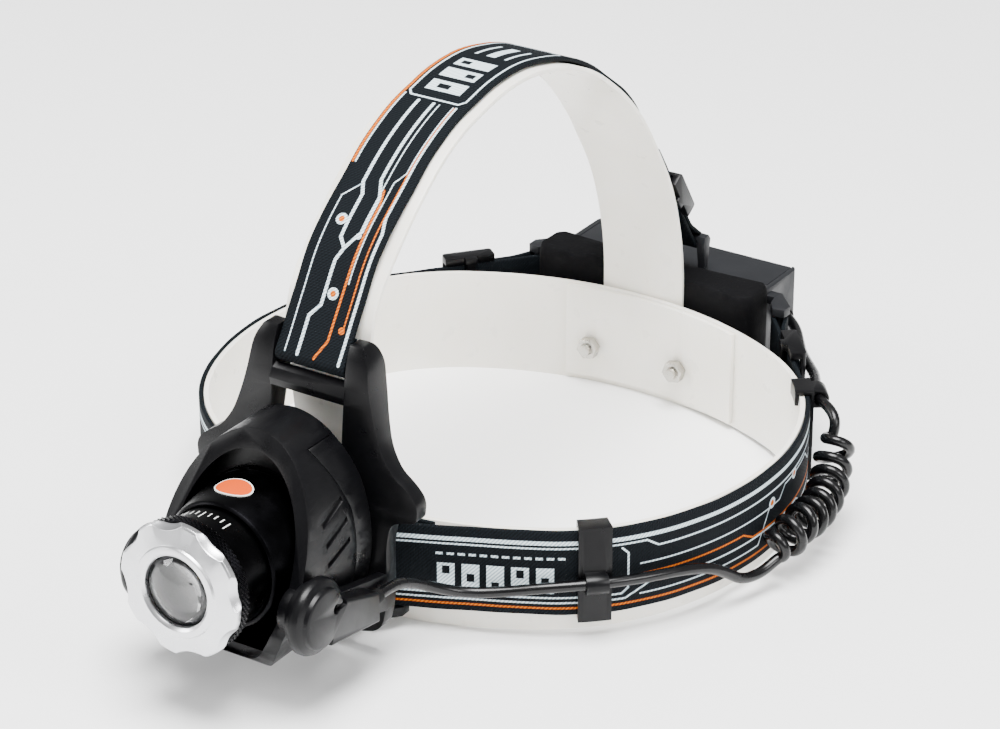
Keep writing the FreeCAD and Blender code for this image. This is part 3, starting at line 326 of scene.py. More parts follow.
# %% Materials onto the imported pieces
finishes = {
    abs_black: ["front_bracket", "hinge_cap_right", "hinge_cap_left", "shell_front", "shell_rear", "bulkhead",
                "adjuster_right", "adjuster_left", "adjuster_crown", "clip_front", "clip_rear"],
    abs_grey: ["battery_case", "battery_cover"],
    pp_milky: ["hoop_band", "hoop_lap", "crown_strip"],
    rubber_black: ["strain_relief", "zoom_oring", "power_button", "cord_gland", "bracket_pad", "battery_pad"],
    black_anodised: ["lamp_collar", "collar_ring", "zoom_sleeve", "knurled_ring"],
    silver_satin: ["bezel"],
    steel_plated: ["hoop_bolts", "hoop_nuts", "hinge_pin_right", "hinge_pin_left", "bulkhead_screws",
                   "contact_springs", "contact_plates", "charge_socket"],
    lens_clear: ["lens"], board_green: ["driver_board", "circuit_board"], board_white: ["led_board"],
    phosphor: ["led"], cell_sleeve: ["battery_cells"], window_clear: ["charge_light"],
}
for mat, names in finishes.items():
    for name in names:
        for place in nodes[name].material_slots:
            place.material = mat
print("finished nodes", sum(len(names) for names in finishes.values()))

# %% [markdown]
# The moulded pieces have small rounded edges, as every mould has, and those edges carry the
# highlights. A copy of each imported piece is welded, its flat faces are joined, and a Bevel
# modifier rounds what is sharp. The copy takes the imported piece's place.

# %% Rounded copies of the moulded and turned pieces
def rounded(name, width_mm, mat, body=root, sharp=28.0):
    source = nodes[name]
    bm = bmesh.new()
    bm.from_mesh(source.data)
    bmesh.ops.remove_doubles(bm, verts=bm.verts, dist=2e-6)
    bmesh.ops.dissolve_limit(bm, angle_limit=math.radians(0.6), verts=bm.verts, edges=bm.edges)
    mesh = bpy.data.meshes.new(name + "_rounded")
    bm.to_mesh(mesh)
    bm.free()
    made = bpy.data.objects.new(name + "_rounded", mesh)
    bpy.context.scene.collection.objects.link(made)
    bevel = made.modifiers.new("edge", "BEVEL")
    bevel.width, bevel.segments, bevel.limit_method = width_mm * mm, 2, "ANGLE"
    bevel.angle_limit, bevel.miter_outer = math.radians(sharp), "MITER_ARC"
    made = plain_mesh(made, name + "_rounded")
    smooth(made, 42)
    made.data.materials.clear()
    made.data.materials.append(mat)
    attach(made, body)
    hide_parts(name)
    return made


for name, width in {"front_bracket": 0.7, "hinge_cap_right": 0.35, "hinge_cap_left": 0.35,
                    "adjuster_right": 0.5, "adjuster_left": 0.5, "adjuster_crown": 0.5,
                    "clip_front": 0.35, "clip_rear": 0.35}.items():
    body = name if name.startswith("adjuster") else root
    rounded(name, width, abs_black, body)
for name, width in {"shell_front": 0.5, "shell_rear": 0.4}.items():
    rounded(name, width, abs_black, "lamp_head")
rounded("battery_case", 0.4, abs_grey)
rounded("battery_cover", 0.4, abs_grey, "battery_cover")
rounded("bezel", 0.5, silver_satin, "zoom_barrel", 24.0)
rounded("lamp_collar", 0.3, black_anodised, "lamp_head")
rounded("collar_ring", 0.25, black_anodised, "lamp_head")
rounded("zoom_sleeve", 0.25, black_anodised, "zoom_barrel")
rounded("hoop_band", 0.3, pp_milky)
rounded("hoop_lap", 0.3, pp_milky)
rounded("crown_strip", 0.3, pp_milky)
rounded("hoop_bolts", 0.3, steel_plated)
rounded("hoop_nuts", 0.25, steel_plated)

# %% [markdown]
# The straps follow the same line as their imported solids: straight runs and arcs about the
# hoop, the bars and the crown. The line is drawn again here from the same few sizes, as points
# about a millimetre apart, so that the cloth can carry its own print coordinates.

# %% Plan of the hoop
half_x, half_y, corner_r = 98.3, 88.4, 70.0
strap_w, strap_t, crown_w = 29.0, 1.4, 25.0
strap_mid_z = 37.0 - strap_w / 2
wrap_r, strap_off = 1.55 + strap_t / 2, 0.3 + strap_t / 2
rad, deg = math.radians, math.degrees


def unit(v):
    return (v[0] / math.hypot(*v), v[1] / math.hypot(*v))


def arc(c, r, a0, a1):
    count = max(4, int(abs(rad(a1 - a0)) * r / 1.0), int(abs(a1 - a0) / 9))
    return [(c[0] + r * math.cos(rad(a0 + (a1 - a0) * k / count)),
             c[1] + r * math.sin(rad(a0 + (a1 - a0) * k / count)))
            for k in range(count + 1)]


s0, c0, s1, c1 = math.sin(rad(25)), math.cos(rad(25)), math.sin(rad(60)), math.cos(rad(60))
right_a, right_b = half_x + corner_r * (c1 - c0), half_y - corner_r * (s1 - s0)
det = c1 * s0 - (1 - c0) * (1 - s1)
end_r, side_r = (right_a * s0 - (1 - c0) * right_b) / det, (c1 * right_b - (1 - s1) * right_a) / det
end_mid, side_mid = half_y - end_r, half_x - side_r
corner = ((end_r - corner_r) * c1, end_mid + (end_r - corner_r) * s1)


def hoop_line(off, start, stop):
    made = []
    for a0, a1, mid, r in [(-90, -60, (0, -end_mid), end_r), (-60, -25, (corner[0], -corner[1]), corner_r),
                           (-25, 25, (side_mid, 0), side_r), (25, 60, corner, corner_r)]:
        low, high = max(a0, start), min(a1, stop)
        if high > low:
            made += arc(mid, r + off, low, high)
    return made


def rounded_line(points, radii=None):
    """Straight runs joined by tangent arcs, of the given radii or of the largest that fit."""
    made = [points[0]]
    for k, (before, at, after) in enumerate(zip(points, points[1:], points[2:])):
        d0, d1 = unit((at[0] - before[0], at[1] - before[1])), unit((after[0] - at[0], after[1] - at[1]))
        turn = math.atan2(d0[0] * d1[1] - d0[1] * d1[0], d0[0] * d1[0] + d0[1] * d1[1])
        shorter = min(math.dist(before, at), math.dist(at, after))
        r = radii[k] if radii else 0.45 * shorter / math.tan(abs(turn) / 2)
        cut, side = r * math.tan(abs(turn) / 2), 1 if turn > 0 else -1
        start = (at[0] - d0[0] * cut, at[1] - d0[1] * cut)
        mid = (start[0] - side * d0[1] * r, start[1] + side * d0[0] * r)
        a0 = deg(math.atan2(start[1] - mid[1], start[0] - mid[0]))
        made += arc(mid, r, a0, a0 + deg(turn))
    return made + [points[-1]]


def looped_line(leave, bar_touch, bar_mid, *tail):
    """From leave straight to a bar, round it and back through the tail's points."""
    way = (bar_touch[0] - leave[0], bar_touch[1] - leave[1])
    across = (bar_mid[0] - bar_touch[0], bar_mid[1] - bar_touch[1])
    turn = 1 if way[0] * across[1] - way[1] * across[0] > 0 else -1
    a0 = deg(math.atan2(-across[1], -across[0]))
    a1 = deg(math.atan2(tail[0][1] - bar_mid[1], tail[0][0] - bar_mid[0])
             - turn * math.acos(wrap_r / math.dist(bar_mid, tail[0])))
    a1 = a0 + turn * ((turn * (a1 - a0)) % 360)
    rest = rounded_line([arc(bar_mid, wrap_r, a1, a1 + 1)[0], *tail], [12.0] * (len(tail) - 1))
    return [leave] + arc(bar_mid, wrap_r, a0, a1) + rest


def touching(c, r, b, s, side):
    a = math.atan2(b[1] - c[1], b[0] - c[0]) + side * math.acos((r - s) / math.dist(b, c))
    return (math.cos(a), math.sin(a))


def moved(start, way, far, normal, out):
    return (start[0] + way[0] * far + normal[0] * out, start[1] + way[1] * far + normal[1] * out)


# %% Line of the side strap
front_bar, rear_bar = (19.6, -half_y - 1.95), (32.5 + 7.5 + 8.5, half_y + 15.4 - 5.3)
n = touching((0, -end_mid), end_r + strap_off, front_bar, wrap_r, 1)
touch = ((end_r + strap_off) * n[0], (end_r + strap_off) * n[1] - end_mid)
bar_touch = (front_bar[0] + wrap_r * n[0], front_bar[1] + wrap_r * n[1])
sewn_end = moved(bar_touch, unit((touch[0] - bar_touch[0], touch[1] - bar_touch[1])), 11.5, n,
                 -strap_t - 0.15)
side_line = looped_line(touch, bar_touch, front_bar, sewn_end)[::-1]
front_angle = deg(math.atan2(n[1], n[0]))
n = touching(corner, corner_r + strap_off, rear_bar, -wrap_r, -1)
leave = (corner[0] + (corner_r + strap_off) * n[0], corner[1] + (corner_r + strap_off) * n[1])
bar_touch = (rear_bar[0] - wrap_r * n[0], rear_bar[1] - wrap_r * n[1])
d = unit((bar_touch[0] - leave[0], bar_touch[1] - leave[1]))
side_line += hoop_line(strap_off, front_angle, deg(math.atan2(n[1], n[0])))
side_line += looped_line(leave, bar_touch, rear_bar, moved(bar_touch, d, -9, n, strap_t + 0.2),
                         moved(bar_touch, d, -34, n, strap_t + 0.2))

# %% Line of the crown strap, in the upright plane
crown_off, crown_a, crown_b = 0.8 + strap_off + 0.4, half_y + 20.4, 143.1


def crown_touch(t):
    a, b, s, c = crown_a + crown_off, crown_b + crown_off, math.sin(rad(t)), math.cos(rad(t))
    return (-14.25 - a * c, 10 + b * s), unit((a * s, b * c))


def crown_corner(t0, t1):
    mid, half = rad((t0 + t1) / 2), rad((t1 - t0) / 2)
    return (-14.25 - (crown_a + crown_off) * math.cos(mid) / math.cos(half),
            10 + (crown_b + crown_off) * math.sin(mid) / math.cos(half))


q, way = crown_touch(40)
inward = (way[1], -way[0])
end_f = (q[0] - way[0] * 12.5, q[1] - way[1] * 12.5)
rod_f = (end_f[0] + inward[0] * wrap_r, end_f[1] + inward[1] * wrap_r)
sewn_end = moved(end_f, way, 9, inward, strap_t + 0.15)
crown_line = looped_line(q, end_f, rod_f, sewn_end)[::-1]
q2, way2 = crown_touch(140)
outward = (-way2[1], way2[0])
end_b = (q2[0] + way2[0] * 60, q2[1] + way2[1] * 60)
rod_b = (end_b[0] + outward[0] * wrap_r, end_b[1] + outward[1] * wrap_r)
crown_line += rounded_line([q] + [crown_corner(t, t + 20) for t in (40, 60, 80, 100, 120)] + [q2])
crown_line += looped_line(q2, end_b, rod_b, moved(end_b, way2, -9, outward, strap_t + 0.2),
                          moved(end_b, way2, -52, outward, strap_t + 0.2))
print("side line", len(side_line), "crown line", len(crown_line))

# %% [markdown]
# Each strap is a band of woven elastic with rolled edges. Its cross-section is carried along
# the line. The UV map holds the cloth's own millimetres: along from the front loop, and across
# from the middle. The inner face is shifted far off the print, so that it stays plain.

# %% Strap cloth
def even_line(line, gap=1.0):
    kept = [line[0]]
    for p in line[1:]:
        far = math.dist(p, kept[-1])
        if far > 0.02:
            parts = max(1, round(far / gap))
            kept += [(kept[-1][0] + (p[0] - kept[-1][0]) * k / parts,
                      kept[-1][1] + (p[1] - kept[-1][1]) * k / parts)
                     for k in range(1, parts + 1)]
    return kept


plain_side = 1.0      # metres the inner face and the ends stand off from the print, so they stay plain


def strap_mesh(name, line, width, zero, lift, flip=1):
    """Carries the strap's section along a line. zero is the length at which u starts."""
    line = even_line(line)
    w, t, r = width / 2, strap_t / 2, 0.42
    rim = [(w - r, t), (w - 0.12, t - 0.12), (w, t - r), (w, r - t), (w - 0.12, 0.12 - t), (w - r, -t)]
    flat = [w - r - (2 * w - 2 * r) * k / 8 for k in range(1, 8)]
    ring = rim + [(v, -t) for v in flat] + [(-v, -h) for v, h in rim] + [(-v, t) for v in flat]
    verts, faces, uvs, far = [], [], [], -zero
    for k, p in enumerate(line):
        before, after = line[max(k - 1, 0)], line[min(k + 1, len(line) - 1)]
        d = unit((after[0] - before[0], after[1] - before[1]))
        far += math.dist(p, before)
        sway = 0.10 * math.sin(far / 7.3) + 0.06 * math.sin(far / 2.9)
        for v, h in ring:
            off = flip * h
            verts.append(Vector(lift((p[0] + d[1] * off, p[1] - d[0] * off),
                                     v + sway * (abs(v) / w) ** 3)) * mm)
            uvs.append((far * mm, v * mm))
    n = len(ring)
    loop_uvs = []
    for k in range(len(line) - 1):
        for j in range(n):
            corners = [k * n + j, k * n + (j + 1) % n, (k + 1) * n + (j + 1) % n, (k + 1) * n + j]
            faces.append(corners)
            inner = plain_side if 4 <= j <= 12 else 0.0
            loop_uvs += [(uvs[c][0], uvs[c][1] + inner) for c in corners]
    last = (len(line) - 1) * n
    for cap in (list(range(n))[::-1], [last + j for j in range(n)]):
        faces.append(cap)
        loop_uvs += [(uvs[c][0], plain_side) for c in cap]
    made = new_object(name, verts, faces)
    layer = made.data.uv_layers.new(name="cloth")
    for place, uv in zip(layer.data, loop_uvs):
        place.uv = uv
    bm = bmesh.new()
    bm.from_mesh(made.data)
    bmesh.ops.recalc_face_normals(bm, faces=bm.faces)
    bm.to_mesh(made.data)
    bm.free()
    smooth(made, 50)
    return made, far + zero


def reach_at(line, place):
    """Length along a line to its point nearest a place."""
    line, far, best = even_line(line), 0.0, (1e9, 0.0)
    for before, p in zip(line, line[1:]):
        far += math.dist(before, p)
        best = min(best, (math.dist(p, place), far))
    return best[1]


# %% [markdown]
# The print is sublimated on a near-black navy twill: pale circuit-like lines with kinks and
# ringed dots, some orange lines, and blocks in a frame. Each line is one "Stroke" group, which
# measures the distance to a segment in the cloth's own metres and adds its ink to what is
# there. Blocks work the same way. The shapes are generic and spell nothing.

# %% Print groups
def ink_group(name, sockets, build):
    group = bpy.data.node_groups.new(name, "ShaderNodeTree")
    for label, kind in sockets:
        group.interface.new_socket(label, in_out="INPUT", socket_type=kind)
    group.interface.new_socket("Ink", in_out="OUTPUT", socket_type="NodeSocketFloat")
    entry, leave_node = group.nodes.new("NodeGroupInput"), group.nodes.new("NodeGroupOutput")
    far = build(group, entry.outputs)
    ink = add(group, "ShaderNodeMapRange",
              {"Value": far, "From Min": 0.00008, "From Max": -0.00008, "To Min": 0.0,
                                           "To Max": 1.0}).outputs[0]
    total = add(group, "ShaderNodeMath", {0: ink, 1: entry.outputs["So far"]}, operation="MAXIMUM")
    group.links.new(total.outputs[0], leave_node.inputs[0])
    return group


def vector_math(tree, operation, a, b=None):
    made = add(tree, "ShaderNodeVectorMath", {0: a} if b is None else {0: a, 1: b}, operation=operation)
    return made.outputs[1 if operation in ("DOT_PRODUCT", "LENGTH") else 0]


def segment_distance(group, given):
    from_start = vector_math(group, "SUBTRACT", given["Place"], given["From"])
    whole = vector_math(group, "SUBTRACT", given["To"], given["From"])
    share = add(group, "ShaderNodeMath", {0: vector_math(group, "DOT_PRODUCT", from_start, whole),
                                         1: vector_math(group, "DOT_PRODUCT", whole, whole)},
                                         operation="DIVIDE")
    share.use_clamp = True
    nearest = add(group, "ShaderNodeVectorMath", {0: whole, "Scale": share.outputs[0]},
                  operation="SCALE").outputs[0]
    far = vector_math(group, "LENGTH", vector_math(group, "SUBTRACT", from_start, nearest))
    return add(group, "ShaderNodeMath", {0: far, 1: given["Half width"]}, operation="SUBTRACT").outputs[0]


def block_distance(group, given):
    off = vector_math(group, "ABSOLUTE", vector_math(group, "SUBTRACT", given["Place"], given["Centre"]))
    parts = add(group, "ShaderNodeSeparateXYZ",
                {0: vector_math(group, "SUBTRACT", off, given["Half size"])}).outputs
    return add(group, "ShaderNodeMath", {0: parts[0], 1: parts[1]}, operation="MAXIMUM").outputs[0]


vector, number = "NodeSocketVector", "NodeSocketFloat"
stroke_group = ink_group("Stroke", [("Place", vector), ("From", vector), ("To", vector),
                                    ("Half width", number), ("So far", number)], segment_distance)
block_group = ink_group("Block", [("Place", vector), ("Centre", vector), ("Half size", vector),
                                  ("So far", number)], block_distance)


def inked(tree, place, strokes, blocks):
    """The ink of a list of lines (half width, points) and blocks (centre, half size), all in mm."""
    ink = add(tree, "ShaderNodeValue").outputs[0]
    ink.default_value = 0.0
    for half, points in strokes:
        for a, b in zip(points, points[1:] if len(points) > 1 else points):
            made = add(tree, "ShaderNodeGroup", node_tree=stroke_group)
            for key, value in (("Place", place), ("So far", ink)):
                tree.links.new(value, made.inputs[key])
            made.inputs["From"].default_value = (a[0] * mm, a[1] * mm, 0)
            made.inputs["To"].default_value = (b[0] * mm, b[1] * mm, 0)
            made.inputs["Half width"].default_value = half * mm
            ink = made.outputs[0]
    for centre, half in blocks:
        made = add(tree, "ShaderNodeGroup", node_tree=block_group)
        for key, value in (("Place", place), ("So far", ink)):
            tree.links.new(value, made.inputs[key])
        made.inputs["Centre"].default_value = (centre[0] * mm, centre[1] * mm, 0)
        made.inputs["Half size"].default_value = (half[0] * mm, half[1] * mm, 1)
        ink = made.outputs[0]
    return ink


def webbing(name, pale, orange, erase):
    """Printed elastic: navy twill, pale print with twill hatching, orange print over it."""
    mat, tree, surface = finish_of(name, IOR=1.5, Specular_IOR_Level=0.1)
    place = add(tree, "ShaderNodeUVMap", uv_map="cloth").outputs[0]
    turned = add(tree, "ShaderNodeMapping", {0: place, "Rotation": (0, 0, rad(45))}).outputs[0]
    twill = add(tree, "ShaderNodeTexWave", {"Vector": turned, "Scale": 0.314 / (0.9 * mm), "Distortion": 0.6,
                                           "Detail": 1.0, "Detail Scale": 3.0}).outputs[1]
    ribs = add(tree, "ShaderNodeTexWave", {"Vector": place, "Scale": 0.314 / (0.8 * mm)},
               bands_direction="X").outputs[1]
    base = blend(tree, twill, "020406", "080e13")
    light = blend(tree, twill, "8ea2ac", "e2edf0")
    keep = add(tree, "ShaderNodeMath", {0: inked(tree, place, *pale), 1: inked(tree, place, *erase)},
               operation="SUBTRACT")
    keep.use_clamp = True
    shade = add(tree, "ShaderNodeMix", {0: keep.outputs[0], 6: base, 7: light}, data_type="RGBA").outputs[2]
    warm = blend(tree, twill, "8c3c02", "d06a0a")
    shade = add(tree, "ShaderNodeMix", {0: inked(tree, place, *orange), 6: shade, 7: warm},
                data_type="RGBA").outputs[2]
    tree.links.new(shade, surface.inputs["Base Color"])
    surface.inputs["Roughness"].default_value = 0.78
    weave = add(tree, "ShaderNodeMath", {0: twill, 1: ribs}, operation="ADD").outputs[0]
    bumped(tree, surface, weave, 0.10, 0.7)
    return mat


# %% Prints of the straps
def ring(u, v, r=1.9):
    return (r, [(u, v)]), (r * 0.52, [(u, v)])


# Crown strap: lines fan out from the sewn end and end in a rounded frame with blocks.
crown_pale = [(0.55, [(0, -4.5), (12, -4.5), (16, -1.5), (30, -1.5), (34, 0), (40, 3.6), (52, 3.6), (58, 1.0),
                      (90, 1.0)]),
              (0.55, [(34, 0), (37, -2.6), (52, -2.6), (56, -4.5), (90, -4.5)]),
              (0.22, [(0, -9), (50, -9), (55, -4.8)]), (0.5, [(0, 10.4), (41, 10.4), (46, 9), (90, 9)]),
              (0.22, [(24, 5.6), (58, 5.6), (62, 8), (90, 8)]), (0.22, [(38.5, 3.1), (90, 3.1)]),
              (1.0, [(38.5, 3.1)]), (0.3, [(62, -10.6), (92, -10.6)]), ring(20, 1.4)[0], ring(42.5, -5)[0],
              (0.35, [(92, -8.6), (94, -10.2), (148, -10.2), (150, -8.6), (150, 8.6), (148, 10.2), (94, 10.2),
                      (92, 8.6), (92, -8.6)]),
              (0.3, [(150, -8), (230, -8)]), (0.3, [(150, -5), (180, -5), (184, -2), (230, -2)]),
              (0.5, [(150, 6), (205, 6), (209, 9), (250, 9)]), (1.3, [(184, 4)]),
              (0.25, [(184, 4), (225, 4)])]
crown_blocks = [((99, 0), (2.8, 6.4)), ((107, 0), (2.8, 6.4)), ((115, 0), (2.8, 6.4)), ((131, 0), (7.5, 1.6)),
                ((131, 5.4), (7.5, 0.5)), ((131, -5.4), (7.5, 0.5))]
crown_orange = [(0.4, [(0, 1.5), (6, 4.5), (49.7, 4.9), (54.7, 3.8)]), (1.1, [(10, 8)]),
                (0.25, [(10, 8.5), (90, 8.5)]), (0.45, [(62, -11.6), (250, -11.6)]), ring(20, 1.4)[1],
                ring(42.5, -5)[1]]
crown_erase = [((107, 3.4), (1.2, 1.6)), ((115, -3.2), (1.2, 1.6)), ((99, -1), (1.2, 2.2))]
crown_cloth = webbing("elastic_webbing_printed_crown", (crown_pale, crown_blocks), (crown_orange, []),
                      ([], crown_erase))
# Side straps: two pale lines along the top, a long frame of blocks, then kinked lines with dots.
clip_at = reach_at(side_line, (77.0, -67.0))
dot_a, dot_b = reach_at(side_line, (100.0, 0.3)), reach_at(side_line, (98.5, 17.4))
side_pale = [(0.7, [(0, 10.5), (420, 10.5)]),
             (0.3, [(0, 8.7), (clip_at + 16, 8.7), (clip_at + 20, 6.2), (420, 6.2)]),
             (0.3, [(0, -10.2), (clip_at + 9, -10.2), (clip_at + 17, -6), (dot_a + 20, -6), (dot_a + 25, -9),
                    (420, -9)]),
             (0.3, [(clip_at + 8, 7.4), (clip_at + 10, 5.4), (clip_at + 10, -6.6), (clip_at + 8, -8.4),
                    (20, -8.4)]),
             (0.25, [(clip_at + 14, -9.5), (dot_a - 8, -9.5), (dot_a - 1, 2.1), (dot_a, 2.1)]),
             (0.25, [(clip_at + 14, 1), (dot_b - 12, 1), (dot_b - 8, 4.6), (dot_b, 4.6)]),
             ring(dot_a, 2.1)[0], ring(dot_b, 4.6)[0],
             (0.25, [(dot_b, 4.6), (dot_b + 14, 4.6), (dot_b + 20, 0), (420, 0)])]
side_blocks = [((clip_at - 46 + 7.6 * k, -2.5), (2.7, 4.4)) for k in range(5)]
side_blocks += [((clip_at - 48 + 3.4 * k, 5.2), (1.1, 0.4)) for k in range(12)]
side_orange = [(0.35, [(0, -12), (420, -12)]), ring(dot_a, 2.1)[1], ring(dot_b, 4.6)[1],
               (0.3, [(clip_at + 12, -2.6), (dot_a - 16, -2.6), (dot_a - 11, -5.2), (420, -5.2)])]
side_erase = [((clip_at - 46 + 7.6 * k, -0.4 - 2.4 * (k % 3)), (1.2, 1.4)) for k in range(5)]
side_cloth = webbing("elastic_webbing_printed_side", (side_pale, side_blocks), (side_orange, []),
                     ([], side_erase))

# %% Straps on
crown_zero = reach_at(crown_line, end_f)
straps = [("strap_right", side_line, strap_w, 0.0, lambda p, v: (p[0], p[1], strap_mid_z + v), side_cloth, 1),
          ("strap_left", side_line, strap_w, 0.0, lambda p, v: (-p[0], p[1], strap_mid_z + v), side_cloth, 1),
          ("crown_strap", crown_line, crown_w, crown_zero, lambda p, v: (v, p[0], p[1]), crown_cloth, -1)]
for name, line_points, width, zero, lift, cloth, flip in straps:
    made, length = strap_mesh(name + "_cloth", line_points, width, zero, lift, flip)
    made.data.materials.append(cloth)
    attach(made, root)
    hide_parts(name)
    print(name, "length", round(length, 1), "mm")

# %% [markdown]
# The two head pads are soft polyurethane foam in a black jersey cover. Each is a copy of its
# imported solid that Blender's cloth solver puffs out a little from within. The result is held
# close to the solid, as the plastic behind it and the head in front would.

# %% Pads
foam = moulded("polyurethane_foam_black_jersey", "040405", "08080a", 0.75, 0.9, 0.9, 0.12, IOR=1.45,
               Specular_IOR_Level=0.1)


most_puff = 0.5 * mm


def pad(name, voxel_mm):
    bm = bmesh.new()
    bm.from_mesh(nodes[name].data)
    bmesh.ops.remove_doubles(bm, verts=bm.verts, dist=2e-6)
    mesh = bpy.data.meshes.new(name + "_foam")
    bm.to_mesh(mesh)
    bm.free()
    made = bpy.data.objects.new(name + "_foam", mesh)
    bpy.context.scene.collection.objects.link(made)
    remesh = made.modifiers.new("even", "REMESH")
    remesh.mode, remesh.voxel_size = "VOXEL", voxel_mm * mm
    made = plain_mesh(made, name + "_foam")
    start = [v.co.copy() for v in made.data.vertices]
    cloth = made.modifiers.new("cloth", "CLOTH")
    cloth.settings.use_pressure, cloth.settings.uniform_pressure_force = True, 4.0
    cloth.settings.effector_weights.gravity = 0
    for k in range(1, 21):
        bpy.context.scene.frame_set(k)
    made = plain_mesh(made, name + "_foam")
    bpy.context.scene.frame_set(1)
    for v, p in zip(made.data.vertices, start):
        step = v.co - p
        v.co = p + step * min(1.0, most_puff / max(step.length, 1e-9))
    finer = made.modifiers.new("finer", "SUBSURF")
    finer.levels = finer.render_levels = 1
    made = plain_mesh(made, name + "_foam")
    smooth(made, 180)
    made.data.materials.append(foam)
    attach(made, root)
    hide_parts(name)


pad("battery_pad", 2.0)
pad("bracket_pad", 1.6)

# %% [markdown]
# The grip ring is diamond-knurled. One raised four-sided point is repeated round the ring and
# along it by Geometry Nodes, with every second row shifted by half a step.

# %% Knurling
axis_at = Vector((0, -149.0, 44.7)) * mm
lamp_tilt = rad(2.9)
lamp_way = Vector((0, -math.cos(lamp_tilt), math.sin(lamp_tilt)))
lamp_up = Vector((0, math.sin(lamp_tilt), math.cos(lamp_tilt)))


def lamp_place(r, angle, s):
    """A point at radius r, at an angle from the top towards +X, s along the lamp's axis, in mm."""
    outwards = math.cos(angle) * lamp_up + math.sin(angle) * Vector((1, 0, 0))
    return axis_at + mm * (lamp_way * s + r * outwards)


knurl_r, knurl_low, knurl_high, knurl_count, knurl_rows = 20.5, 17.7, 21.6, 72, 3
row = (knurl_high - knurl_low) / knurl_rows
seeds, ways = [], []
for j in range(knurl_rows * 2 - 1):
    for k in range(knurl_count):
        angle = 2 * math.pi * (k + 0.5 * (j % 2)) / knurl_count
        seeds.append(lamp_place(knurl_r, angle, knurl_low + row * (0.5 + 0.5 * j)))
        ways.append(angle)
cell = new_object("knurl_seeds", seeds, [])
turn_of = cell.data.attributes.new("turn", "FLOAT", "POINT")
for place, angle in zip(turn_of.data, ways):
    place.value = angle
tip_w, tip_l = math.pi * knurl_r / knurl_count, row / 2
tip = new_object("knurl_tip", [Vector(p) * mm
                               for p in [(tip_w, 0, 0), (0, -tip_l, 0), (-tip_w, 0, 0), (0, tip_l, 0),
                                                       (0, 0, 0.5)]],
                 [(0, 4, 1)[::-1], (1, 4, 2)[::-1], (2, 4, 3)[::-1], (3, 4, 0)[::-1]])
group = bpy.data.node_groups.new("Knurl", "GeometryNodeTree")
for label, way_io, kind in (("Geometry", "INPUT", "NodeSocketGeometry"), ("Tip", "INPUT", "NodeSocketObject"),
                            ("Tilt", "INPUT", "NodeSocketFloat"), ("Finish", "INPUT", "NodeSocketMaterial"),
                            ("Geometry", "OUTPUT", "NodeSocketGeometry")):
    group.interface.new_socket(label, in_out=way_io, socket_type=kind)
entry, leave_node = group.nodes.new("NodeGroupInput"), group.nodes.new("NodeGroupOutput")
turn_value = add(group, "GeometryNodeInputNamedAttribute", {0: "turn"}, data_type="FLOAT").outputs[0]
spin = add(group, "ShaderNodeCombineXYZ", {1: turn_value}).outputs[0]
lean = add(group, "ShaderNodeCombineXYZ", {0: entry.outputs["Tilt"]}).outputs[0]
both = add(group, "FunctionNodeRotateEuler", {0: spin, 1: lean}, space="OBJECT")
tips = add(group, "GeometryNodeObjectInfo", {0: entry.outputs["Tip"]}).outputs["Geometry"]
put = add(group, "GeometryNodeInstanceOnPoints", {"Points": entry.outputs["Geometry"], "Instance": tips,
                                                 "Rotation": both.outputs[0]}).outputs[0]
real = add(group, "GeometryNodeRealizeInstances", {0: put}).outputs[0]
dressed = add(group, "GeometryNodeSetMaterial", {0: real, "Material": entry.outputs["Finish"]}).outputs[0]
group.links.new(dressed, leave_node.inputs[0])
knurler = cell.modifiers.new("knurl", "NODES")
knurler.node_group = group
for item in group.interface.items_tree:
    if item.in_out == "INPUT" and item.name != "Geometry":
        knurler[item.identifier] = {"Tip": tip, "Tilt": lamp_tilt, "Finish": black_anodised}[item.name]
knurl = plain_mesh(cell, "knurl")
bpy.data.objects.remove(tip)
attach(knurl, "zoom_barrel")
print("knurl points", len(seeds), "faces", len(knurl.data.polygons))

# %% [markdown]
# The collar carries a small orange oval sticker with a plain pale rim, and the sliding sleeve
# has generic tick marks for the focus.

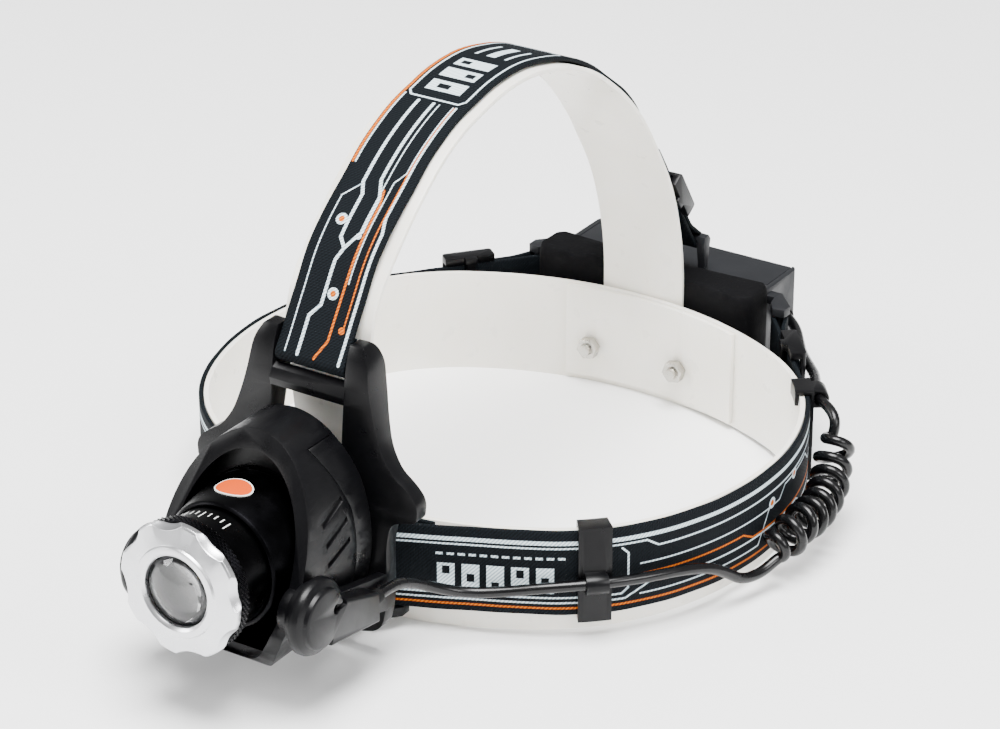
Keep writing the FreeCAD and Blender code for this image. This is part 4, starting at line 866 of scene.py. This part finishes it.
# %% Sticker and tick marks
sticker_orange = moulded("vinyl_sticker_orange", "b23c02", "c44a06", 0.35, 0.45, IOR=1.5,
                         Specular_IOR_Level=0.2)
print_pale = moulded("pad_print_pale", "c9ccc8", "dadcd8", 0.45, 0.6, IOR=1.5)


def on_tube(name, r_of, s, angle, half_s, half_a, mat, body, shape="oval", lift=0.12):
    """A thin patch that lies on the lamp's round side, oval or rectangular."""
    rim = []
    for k in range(28 if shape == "oval" else 4):
        a = 2 * math.pi * k / 28 if shape == "oval" else math.pi / 4 + math.pi / 2 * k
        wide = (math.cos(a), math.sin(a)) if shape == "oval" else (math.copysign(1, math.cos(a)),
                                                                  math.copysign(1, math.sin(a)))
        rim.append((s + half_s * wide[0], angle + half_a * wide[1]))
    n, rings = len(rim), 5
    verts = [lamp_place(r_of(s) + lift, angle, s)]
    for j in range(1, rings + 1):
        between = [(s + (p - s) * j / rings, angle + (a - angle) * j / rings) for p, a in rim]
        verts += [lamp_place(r_of(p) + lift, a, p) for p, a in between]
    verts += [lamp_place(r_of(p) - 0.1, a, p) for p, a in rim]
    faces = [(0, k + 1, (k + 1) % n + 1) for k in range(n)]
    for j in range(rings):
        faces += [(j * n + k + 1, (j + 1) * n + k + 1, (j + 1) * n + (k + 1) % n + 1, j * n + (k + 1) % n + 1)
                  for k in range(n)]
    made = new_object(name, verts, faces)
    made.data.materials.append(mat)
    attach(made, body)
    return made


def collar_r(s):
    """The collar's outside radius, which falls in three straight steps towards the front."""
    steps = ((-12.5, 4.5, 0.3), (-8, 5, 0.7), (-3, 5, 0.9))
    return 22.3 - sum(fall * max(0.0, min(1.0, (s - start) / run)) for start, run, fall in steps)


on_tube("sticker_rim", collar_r, -4.2, rad(-4), 4.4, rad(17.5), print_pale, "lamp_head",
        lift=0.3)
on_tube("sticker", collar_r, -4.2, rad(-4), 4.0, rad(16.2), sticker_orange, "lamp_head",
        lift=0.34)
for k in range(9):
    long = 1.9 if k % 4 == 0 else 1.1
    on_tube("tick_%d" % k, lambda s: 18.4, 8.6 + long, rad(-34 + 7 * k), long, rad(0.55), print_pale,
            "zoom_barrel", "block", 0.03)
